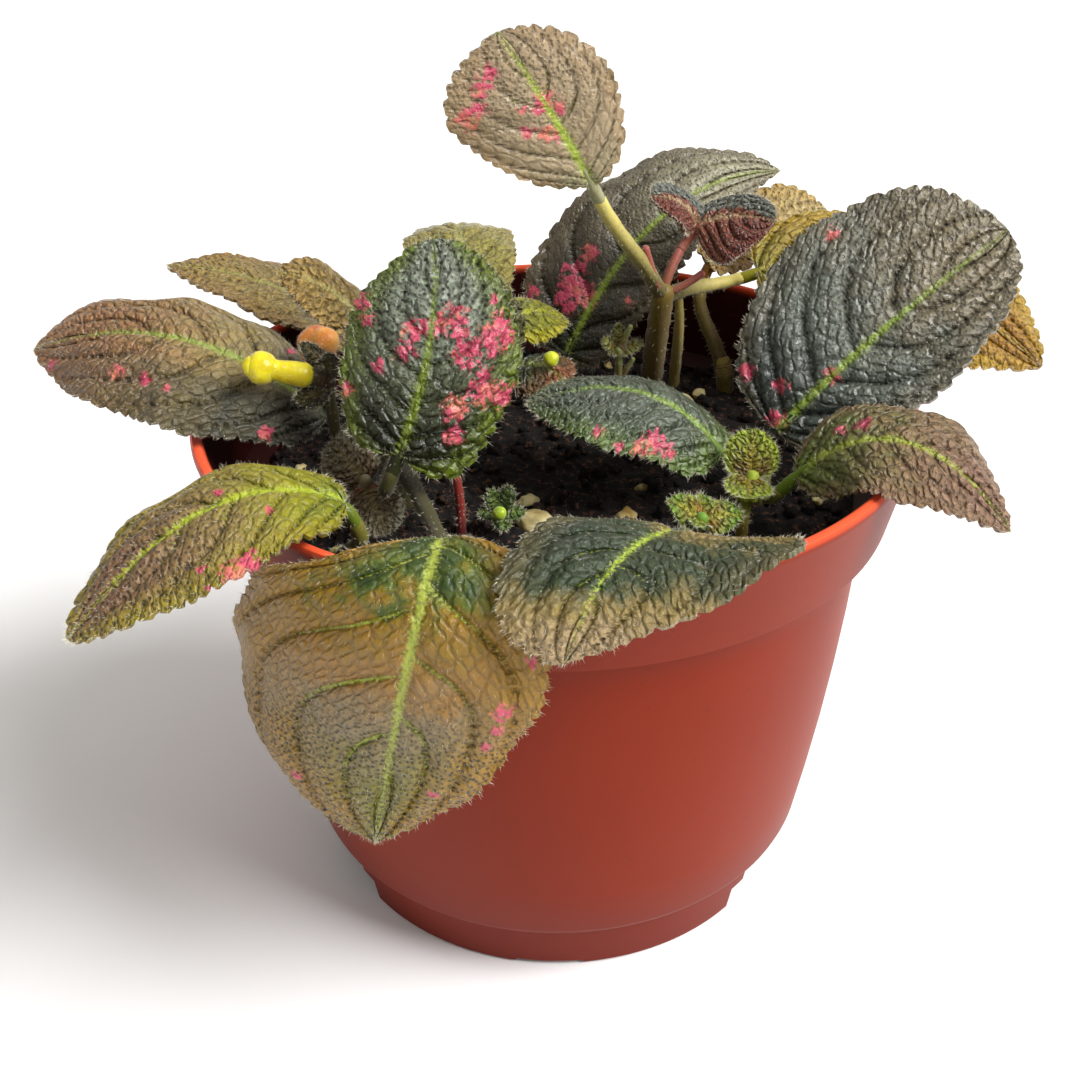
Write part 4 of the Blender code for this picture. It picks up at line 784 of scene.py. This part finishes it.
# %% Young growth
SMALL = dict(sag=(0.3, 0.3), lobe=0, point=1.1, tuck=0.6, broad=0.45, tooth_pitch=1.1, tooth=0.3, quilt=0.05,
             block=1.1, wave=0.15)
SPRIGS = {
    "young_leaves_left": dict(foot=(-28, -15), bars=((((-27.6, -15.4, 71), (-26.8, -15.5, 74.2)), (0.9, 0.9)),),
        leaflets=(((-26.9, -14.6, 73), (-28.5, -15, 76.5), (-31.5, -14, 79.5), 9), ((-26.9, -15.8, 73.4),
        (-25, -20.5, 72.8), (-23.5, -23.5, 70), 8)), look=look("0 #bc5c1c 0.3 #7e6038 1 #8e8464", "#9a947a", "#8c7a4c",
        seam=0.2)),
    "young_leaf_right": dict(foot=(26, -20), bars=((((26, -20, 71), (27.4, -17.3, 75)), (0.9, 0.9)),),
        leaflets=(((27.4, -17, 74.5), (27.4, -15, 77.5), (27.6, -13, 80), 8), ((27, -17.6, 75), (26.4, -20.5, 75),
        (26.2, -23, 74.5), 6.8)), look=look("0 #6c4404 0.4 #7c6410 1 #96a624", "#a2b428", "#8c7a1a", seam=0.2,
        edge_strength=2.4)),
    "rosette_front": dict(foot=(20, -33), bars=((((19.5, -34, 74), (18, -36, 79.5)), (0.9, 0.8)),),
        leaflets=(((18, -36, 79), (16, -36, 81.5), (13.5, -36, 82), 4.5), ((18, -36, 79), (18, -35, 81),
        (18, -33, 81.5), 4), ((18, -36, 79), (20.5, -36, 80.5), (23.5, -36, 79.5), 5), ((18, -36, 79),
        (17.6, -37.5, 80.5), (17.3, -38.8, 79.8), 3)), look=look("0 #b86a1c 0.45 #9a7420 1 #648c22", "#7a9a26",
        "#a09c30", seam=0.2, point=1.7, broad=0.4)),
    "shoot_tip": dict(bars=((((20.75, 26.3, 91.75), (21.8, 27.5, 92.9), (24, 28, 95)), (0.8, 0.8)),),
        leaflets=(((23.2, 28, 95.4), (28.6, 26.4, 98.6), (34.8, 22.6, 97.6), 17, dict(folded=-1, share=(0.55, 1.05),
        broad=0.55)), ((23.6, 28, 95), (22, 26, 101), (15.5, 24, 101.5), 8, dict(folded=1))),
        look=look("0 #9c5a44 1 #7a3424", "#70746a", "#c0a078", edge_strength=3)),
    "sprout": dict(foot=(11.2, 25), bars=((((11.1, 24.5, 72), (11, 23.5, 76)), (0.8, 0.6)), (((11.2, 24.8, 69.5),
        (13.4, 24, 74)), (0.5, 0.4)), (((11, 23.8, 75), (12.8, 22.8, 80.3)), (0.5, 0.4))), leaflets=(((11, 23.7, 75.4),
        (11.1, 24, 78.5), (10.9, 24, 80.3), 2.6), ((11, 23.7, 75.4), (9.7, 23, 77), (8.4, 23, 78.2), 2.6),
        ((11.1, 23.7, 75.4), (13.3, 24.4, 76.5), (15, 24, 77), 2.6)), look=look("0 #84301c 0.3 #7c6a34 1 #98a45c",
        "#a0a65c", "#a08c3c")),
    "stalk_red": dict(foot=(-13.5, -18.5), bars=((((-13.5, -17.5, 72), (-14, -18, 76)), (0.75, 0.7)),), leaflets=(),
        look=look("0 #5a1512 1 #8a2a20", "#8a2a20")),
    "bud_star": dict(foot=(-8, -17.2), bars=((((-8, -17.5, 69.5), (-8, -18.2, 70.4)), (0.8, 1.2)),),
        leaflets=(((-8, -18, 70.4), (-9, -18.5, 72.5), (-9.2, -18, 73.8), 2.6), ((-8, -18, 70.4), (-7, -18.5, 72.5),
        (-6.5, -18, 74.2), 2.6), ((-8, -18, 70.4), (-6, -19, 70.6), (-4.4, -18.6, 70.5), 2.6), ((-8, -18, 70.2),
        (-7.6, -20, 70), (-7.5, -21, 68.6), 2.6), ((-8, -18, 70.4), (-9.8, -19, 70.7), (-11, -18.6, 70.5), 2.6)),
        look=look("0 #4c5c20 1 #3c5420", "#56702c", "#6c8030")),
    "calyx_yellow": dict(foot=(-30.5, -11.5), bars=((((-31, -11.5, 80), (-32, -8.8, 86.2)), (0.7, 0.9)),
        (((-31.6, -8.8, 86.3), (-34.3, -9.3, 87.3)), (1.3, 1.4)), (((-32, -8.6, 86), (-33.2, -6.1, 87)), (0.6, 0.5))),
        leaflets=(((-32.3, -9.3, 85.9), (-33.5, -11.6, 85), (-36.2, -12.2, 85.4), 3.6), ((-32.2, -8.3, 87),
        (-33, -7, 89.9), (-35.6, -6.6, 91.2), 3), ((-31.9, -9, 87.2), (-31, -9.6, 89), (-31.6, -10, 91), 3)),
        look=look("0 #3a1612 0.5 #33240e 1 #3c3a12", "#2c2410", "#5c5020")),
}

for name, sprig in SPRIGS.items():
    traits = {**USUAL, **SMALL, **sprig["look"]}
    parts = []
    for k, (points, radii) in enumerate(sprig["bars"]):
        foot = [(*sprig["foot"], z) for z in (BURIED + 2, COLLAR)] if k == 0 and "foot" in sprig else []
        path = smooth((*foot[1:], *points), 14)
        if foot:
            path = np.concatenate([smooth(foot, 4)[:-1], path])
        parts += bar(path, radii, sides=10, fuzz=2.5, slot=3)
    for base, bend, tip, width, *turned in sprig["leaflets"]:
        leaflet = dict(traits, base=base, bend=bend, tip=tip, width=width, face=(0, -0.6, 1))
        parts += blade_parts({**leaflet, **(turned[0] if turned else {})}, grain=0.2, fuzz=3.2)
    skins = (leaf_skin(name, traits), underside, fuzz_finish,
             stem_skin(name, traits["colours"][0][1], traits["colours"][-1][1]))
    make_piece(name, parts, skins, [name])
print("young growth:", len(SPRIGS))

# %% [markdown]
# ## Buds
# The buds are round and waxy. An icosphere has no poles, so its skin stays even. Its points are moved out
# and in by a few slow waves, which makes each bud a little lopsided as a real one is.

# %% Buds
def bud_skin(name, colour, shade, roughness=0.42):
    made, tree, shader = new_material(name + "_wax", roughness, **{
        "Sheen Weight": 0.2, "Subsurface Weight": 0.15, "Subsurface Scale": 0.5 * MM})
    flat = add(tree, "Attribute", attribute_name="flat").outputs["Vector"]
    cloud = add(tree, "TexNoise", {"Vector": flat, "Scale": 0.45, "Detail": 3}).outputs["Fac"]
    mix = add(tree, "MapRange", {0: cloud, 1: 0.42, 2: 0.62}).outputs[0]
    tone = add(tree, "Mix", {0: mix, 6: linear(colour), 7: linear(shade)}, data_type="RGBA")
    # the cream flecks stand for the fine hairs: partly their pale colour, partly painted glints
    speck = add(tree, "TexNoise", {"Vector": flat, "Scale": 3, "Detail": 2}).outputs["Fac"]
    dots = add(tree, "MapRange", {0: speck, 1: 0.6, 2: 0.7, 3: 0.0, 4: 0.35}).outputs[0]
    dotted = add(tree, "Mix", {0: dots, 6: tone.outputs[2], 7: linear("#fff6d8")}, data_type="RGBA")
    tree.links.new(dotted.outputs[2], shader.inputs["Base Color"])
    bump = add(tree, "Bump", {"Strength": 0.4, "Distance": 0.12 * MM, "Height": speck})
    tree.links.new(bump.outputs[0], shader.inputs["Normal"])
    return made


def round_form(fine):
    """Points and faces of a ball of radius 1."""
    work = bmesh.new()
    bmesh.ops.create_icosphere(work, subdivisions=fine, radius=1)
    points = np.array([v.co for v in work.verts])
    faces = [tuple(v.index for v in f.verts) for f in work.faces]
    work.free()
    return points, faces


def ball(centre, radii, dent=0.05, slot=0):
    points, faces = round_form(4)
    wave = 1 + dent * np.sin(3 * points[:, 0] + 2) * np.cos(4 * points[:, 2] + 1)
    return part(np.array(centre) + points * wave[:, None] * np.array(radii), faces, slot)


def bud_fuzz(ball_part, centre, count, length=0.4):
    some = ball_part["points"][chance.integers(0, len(ball_part["points"]), count)]
    return hairs(some, some - np.array(centre), chance.uniform(0.5, 1, count) * length, 0.05, 1)


BULB, LOBE, SIDE_LOBE = (-40.6, -10, 89), (-33.8, -2.5, 88.8), (-32.6, -3.6, 90)
neck = smooth(((-40.4, -10, 89), (-37.5, -10, 88.5), (-34.8, -9.4, 87.5)), 14)
yellow = [ball(BULB, (2.2, 2.4, 2.4)), *bar(neck, (1.9, 1.45, 1.7, 1.8), sides=16, knobs=0.02)]
yellow.append(ball((-41.9, -10.3, 89.4), (1.3, 1.5, 1.5)))
yellow.append(bud_fuzz(yellow[0], BULB, 160, 0.3))
make_piece("bud_yellow", yellow, (bud_skin("bud_yellow", "#e6d60a", "#d2bc04", 0.3), fuzz_finish), ["bud_yellow"])
orange = [ball(LOBE, (2.9, 2.9, 3.1), 0.07), ball(SIDE_LOBE, (2.1, 2, 2.1), 0.05, 2)]
orange += [bud_fuzz(orange[0], LOBE, 700), bud_fuzz(orange[1], SIDE_LOBE, 300)]
make_piece("bud_orange", orange, (bud_skin("bud_orange", "#d8842a", "#b85c26"), fuzz_finish,
                                  bud_skin("bud_orange_lobe", "#e8a850", "#d88430")), ["bud_orange"])
for name, centre, radius, *skin in (("bud_lime", (-0.3, 6, 82.4), 1.2, "#c8d018", "#a0ac10"),
                                    ("bud_star_core", (-8, -20.4, 71.2), 1, "#a8c020", "#86a018", 0.35)):
    make_piece(name, [ball(centre, (radius,) * 3)], (bud_skin(name, *skin),), [name])

# %% [markdown]
# ## The pot
# A growers' pot is injection moulded in terracotta coloured polypropylene, a soft plastic with a satin
# face that spreads its highlights. Its section is turned about the axis with a Screw, which is how its
# mould was turned. Small fillets are drawn in the section so that its edges catch the light.

# %% Pot finish
pot_plastic, tree, shader = new_material("terracotta_polypropylene", 0.44, 1.49, **{
    "Specular IOR Level": 0.15,
    "Subsurface Weight": 0.06, "Subsurface Radius": (3 * MM, 1 * MM, 0.6 * MM), "Subsurface Scale": 1.0})
place = add(tree, "TexCoord").outputs["Object"]
height = add(tree, "SeparateXYZ", {0: place}).outputs["Z"]
cloud = add(tree, "TexNoise", {"Vector": place, "Scale": 30, "Detail": 3}).outputs["Fac"]
body = add(tree, "Mix", {0: cloud, 6: linear("#7a2107"), 7: linear("#852809")}, data_type="RGBA")
# painted light: the top of the lip is painted a bright orange, the lit look of the thin rim
lip = add(tree, "MapRange", {0: height, 1: 0.0788, 2: 0.0799, 3: 0.0, 4: 0.85}).outputs[0]
painted_light_and_shade = add(tree, "Mix", {0: lip, 6: body.outputs[2], 7: linear("#f2603a")}, data_type="RGBA")
# painted shade: the inner wall below the lip, marked in the point numbers, is painted a near black maroon
shaded = add(tree, "Attribute", attribute_name="patch").outputs["Fac"]
painted_light_and_shade = add(tree, "Mix", {0: shaded, 6: painted_light_and_shade.outputs[2], 7: linear("#2c0a08")}, data_type="RGBA")
# painted shade: the lowest 20 mm are painted darker towards the floor
low = add(tree, "MapRange", {0: height, 1: 0.02, 2: 0.0, 3: 0.0, 4: 0.55}).outputs[0]
with_foot_shade = add(tree, "Mix", {0: low, 6: painted_light_and_shade.outputs[2], 7: linear("#5c1208")}, data_type="RGBA")
dust = add(tree, "TexNoise", {"Vector": place, "Scale": 900, "Detail": 1}).outputs["Fac"]
specks = add(tree, "MapRange", {0: dust, 1: 0.72, 2: 0.8, 3: 0.0, 4: 0.35}).outputs[0]
dusty = add(tree, "Mix", {0: specks, 6: with_foot_shade.outputs[2], 7: linear("#5c1c14")}, data_type="RGBA")
tree.links.new(dusty.outputs[2], shader.inputs["Base Color"])
matt = add(tree, "TexNoise", {"Vector": place, "Scale": 2500, "Detail": 2}).outputs["Fac"]
bump = add(tree, "Bump", {"Strength": 0.12, "Distance": 0.05 * MM, "Height": matt})
tree.links.new(bump.outputs[0], shader.inputs["Normal"])

# %% Pot
RIM, RIM_FOOT, WALL, STEP, TOP = 53.0, 50.0, 1.8, 66.0, 80.0
FEET, FIRST_NOTCH = 3, -93  # how many, and the direction of the first notch in degrees
FOOT_AT, DRAIN_AT, DRAIN_RADIUS = 38, 29, 3


def wall_radius(z):
    share = (z - 10) / 56
    return 41.2 + 5.6 * share + 4 * 0.9 * share * (1 - share)


# radius and height, from the floor's middle up the inner wall, over the lip and down to the foot
section = [(0, 10.4), *((wall_radius(z) - WALL, z) for z in (10.4, 20, 30, 40, 50, 60, 66)),
           (RIM_FOOT - WALL, 67.2), (RIM - WALL - 0.2, 78.6), (RIM - WALL + 0.05, 79.5), (RIM - WALL + 0.5, 79.9),
           (RIM - 0.9, TOP), (RIM - 0.35, 79.85), (RIM - 0.05, 79.4), (RIM - 0.05, 78.7), (RIM - 0.35, 78),
           (RIM_FOOT + 0.25, 66.7), (RIM_FOOT + 0.1, 66.2), (RIM_FOOT - 0.3, STEP), (47.4, STEP), (47.0, 65.8),
           *((wall_radius(z), z) for z in (65.2, 60, 50, 40, 30, 20, 11)), (41.1, 10.3), (40.7, 10), (40, 10),
           (39.6, 9.7), (38.1, 0.4), (37.7, 0), (35.8, 0), (35.6, 0.2), (35.6, 8.6), (0, 8.6)]
outline = bpy.data.meshes.new("pot_shell")
outline.from_pydata([(r * MM, 0, z * MM) for r, z in section], [(k, k + 1) for k in range(len(section) - 1)], [])
pot = put("pot_shell", outline)
screw = pot.modifiers.new("Turn", "SCREW")
screw.steps = screw.render_steps = 180
screw.use_merge_vertices, screw.merge_threshold = True, 1e-6
cutters = []


def cut(work, name, out, angle, turn=0, z=0):
    """Cuts the form in work out of the pot, at a distance from the axis in the direction of the angle."""
    form = bpy.data.meshes.new(name)
    work.to_mesh(form)
    work.free()
    cutter = put(name, form)
    cutter.location = (out * MM * math.cos(angle), out * MM * math.sin(angle), z * MM)
    cutter.rotation_euler.z = turn
    cutters.append(cutter)
    taken = pot.modifiers.new("Cut", "BOOLEAN")
    taken.operation, taken.object, taken.solver = "DIFFERENCE", cutter, "EXACT"


for k in range(FEET):
    angle = math.radians(FIRST_NOTCH + 360 / FEET * k)
    for size, turn in (((14, 16, 15.2), angle + math.radians(60)), ((14, 11.5, 1.8), angle)):
        notch = bmesh.new()
        bmesh.ops.create_cube(notch, size=1)
        bmesh.ops.scale(notch, vec=Vector(size) * MM, verts=notch.verts)
        upper = [e for e in notch.edges if abs(e.verts[0].co.z - e.verts[1].co.z) < 1e-9 and e.verts[0].co.z > 0
                 and abs(e.verts[0].co.x - e.verts[1].co.x) > 1e-9]
        bmesh.ops.bevel(notch, geom=upper, offset=min(size[2] * 0.3, 3) * MM, segments=6, affect="EDGES")
        cut(notch, "notch", FOOT_AT, turn, turn)
    drain = bmesh.new()
    bmesh.ops.create_cone(drain, cap_ends=True, segments=32, radius1=DRAIN_RADIUS * MM,
                          radius2=DRAIN_RADIUS * MM, depth=8 * MM)
    cut(drain, "drain", DRAIN_AT, angle + math.radians(60), z=10)
bpy.context.view_layer.update()
shell = bpy.data.meshes.new_from_object(pot.evaluated_get(bpy.context.evaluated_depsgraph_get()))
for thing in (pot, *cutters):
    bpy.data.objects.remove(thing)
place = np.array([v.co for v in shell.vertices]) / MM
radius, height = np.hypot(place[:, 0], place[:, 1]), place[:, 2]
outer = np.where(height > STEP, RIM_FOOT + (RIM - RIM_FOOT) * (height - STEP) / (TOP - STEP), wall_radius(height))
# marks the inner wall below the lip, where the finish paints shade
painted_inner_shade = ((radius < outer - WALL / 2) & (height > 10.3)) * soft_step(79.9, 78.4, height)
wall = part(place, [tuple(p.vertices) for p in shell.polygons], patch=painted_inner_shade)
make_piece("pot", [wall], (pot_plastic,), ["pot"], sharp=35)
print("pot faces:", len(wall["faces"]))

# %% [markdown]
# ## The soil
# Potting soil is peat and bark, almost black when damp, with paler chips. A lumpy ground comes first, as
# a disc of rings with noise for its height. Crumbs of 1 to 3 mm are strewn on it, each a rough small ball
# that is half sunk, and some twenty cream chips of perlite and wood lie among them.

# %% Soil finish
# the place is in metres here, so a scale of 900 gives grains of about 1 mm
soil_earth, tree, shader = new_material("damp_potting_soil", 0.85, 1.4)
place = add(tree, "TexCoord").outputs["Object"]
fine = add(tree, "TexNoise", {"Vector": place, "Scale": 900, "Detail": 4, "Roughness": 0.7}).outputs["Fac"]
broad = add(tree, "TexNoise", {"Vector": place, "Scale": 120, "Detail": 3}).outputs["Fac"]
share = add(tree, "MapRange", {0: broad, 1: 0.4, 2: 0.7}).outputs[0]
earth = add(tree, "Mix", {0: share, 6: linear("#0a0706"), 7: linear("#1c120e")}, data_type="RGBA")
# paler brown grains in the dark soil
brown_specks = add(tree, "MapRange", {0: fine, 1: 0.56, 2: 0.66, 3: 0.0, 4: 0.9}).outputs[0]
grit = add(tree, "Mix", {0: brown_specks, 6: earth.outputs[2], 7: linear("#6e4a34")}, data_type="RGBA")
tree.links.new(grit.outputs[2], shader.inputs["Base Color"])
bump = add(tree, "Bump", {"Strength": 1, "Distance": 1.1 * MM, "Height": fine})
tree.links.new(bump.outputs[0], shader.inputs["Normal"])
chip_finish, tree, shader = new_material("bark_and_perlite_chip", 0.8)
place = add(tree, "TexCoord").outputs["Object"]
shade = add(tree, "TexNoise", {"Vector": place, "Scale": 260, "Detail": 4}).outputs["Fac"]
mix = add(tree, "MapRange", {0: shade, 1: 0.35, 2: 0.65}).outputs[0]
chips = add(tree, "Mix", {0: mix, 6: linear("#8c6f34"), 7: linear("#d9cd94")}, data_type="RGBA")
tree.links.new(chips.outputs[2], shader.inputs["Base Color"])
bump = add(tree, "Bump", {"Strength": 0.7, "Distance": 0.3 * MM, "Height": shade})
tree.links.new(bump.outputs[0], shader.inputs["Normal"])

# %% Soil
LEVEL, BOTTOM, RINGS, SPOKES, CRUMBS = 67.3, 10.7, 74, 220, 620
# where each chip lies and its size
CHIPS = ((-3, -16, 2.6), (-4, -9, 1.2), (10, -15, 1.3), (13, -6, 0.9), (7, -2, 0.8), (20, -17, 1.7), (3, -24, 0.8),
         (22, 22, 1.6), (25, 26, 1.2), (-17, -29, 1.2), (-12, -34, 0.9), (30, 4, 1), (16, 8, 0.8), (-6, 33, 1.2),
         (-33, 12, 1.1), (-39, 2, 0.9), (2, 40, 1.1), (36, 16, 1.1), (-26, 30, 1.3), (10, 37, 0.9), (38, -12, 1))


def ground(x, y):
    """Height of the soil in millimetres: slow waves, then lumps of 3 mm, then grit."""
    slow = noise.noise((x / 17, y / 17, 3))
    lumps = noise.voronoi((x / 3.4, y / 3.4, 1))[0][0]
    grit = noise.noise((x / 1.3, y / 1.3, 7))
    return LEVEL + 0.9 * slow - 1.5 * lumps + 0.35 * grit


def fit_into_pot(points, z, gap):
    """How much to draw each point in so that it keeps the gap to the pot's inner wall at the height z."""
    return (wall_radius(z) - WALL + gap) / np.maximum(np.hypot(points[:, 0], points[:, 1]), 1e-6)


points = [(0, 0, ground(0, 0))]
for r in np.linspace(0.6, 46.0, RINGS):
    for k in range(SPOKES):
        x, y = r * math.cos(2 * math.pi * k / SPOKES), r * math.sin(2 * math.pi * k / SPOKES)
        points.append((x, y, ground(x, y) - 1.2 * soft_step(41, 46, r)))
points = np.array(points)
points[:, :2] *= np.minimum(1, fit_into_pot(points, points[:, 2], 0.3))[:, None]
skirt = len(points)
low_ring = points[-SPOKES:] * fit_into_pot(points[-SPOKES:], 11, -0.3)[:, None]
low_ring[:, 2] = BOTTOM
points = np.concatenate([points, low_ring])
faces = []
for k in range(SPOKES):
    n = (k + 1) % SPOKES
    faces.append((0, 1 + k, 1 + n))
    for a in range(1, skirt - SPOKES, SPOKES):
        faces.append((a + k, a + SPOKES + k, a + SPOKES + n, a + n))
faces += [(skirt - SPOKES + k, skirt + k, skirt + (k + 1) % SPOKES, skirt - SPOKES + (k + 1) % SPOKES)
          for k in range(SPOKES)]
faces.append(tuple(range(skirt + SPOKES - 1, skirt - 1, -1)))
soil_parts = [part(points, faces)]


def crumb(x, y, sizes, slot, sink=0.4):
    points, faces = round_form(3 if slot else 2)
    seed = Vector(chance.uniform(0, 60, 3))
    shape = np.array([p * (1 + 0.55 * noise.noise(Vector(p) * 1.2 + seed)) * sizes for p in points])
    a, b = chance.uniform(0, math.pi, 2)
    spin = np.array(Matrix.Rotation(a, 3, "Z") @ Matrix.Rotation(0.35 * math.sin(b), 3, "X"))
    return part(shape @ spin.T + (x, y, ground(x, y) + sizes[2] * (1 - 2 * sink)), faces, slot)


for k in range(CRUMBS):
    r, angle = 44 * math.sqrt(chance.uniform()), chance.uniform(0, 2 * math.pi)
    size = chance.uniform(0.45, 1.5)
    soil_parts.append(crumb(r * math.cos(angle), r * math.sin(angle), size * chance.uniform(0.6, 1.1, 3), 0))
for x, y, size in CHIPS:
    soil_parts.append(crumb(x, y, size * np.array((1.2, 0.85, 0.6)), 1, 0.2))
make_piece("soil", soil_parts, (soil_earth, chip_finish), ["soil"], sharp=80)
print("soil parts:", len(soil_parts))
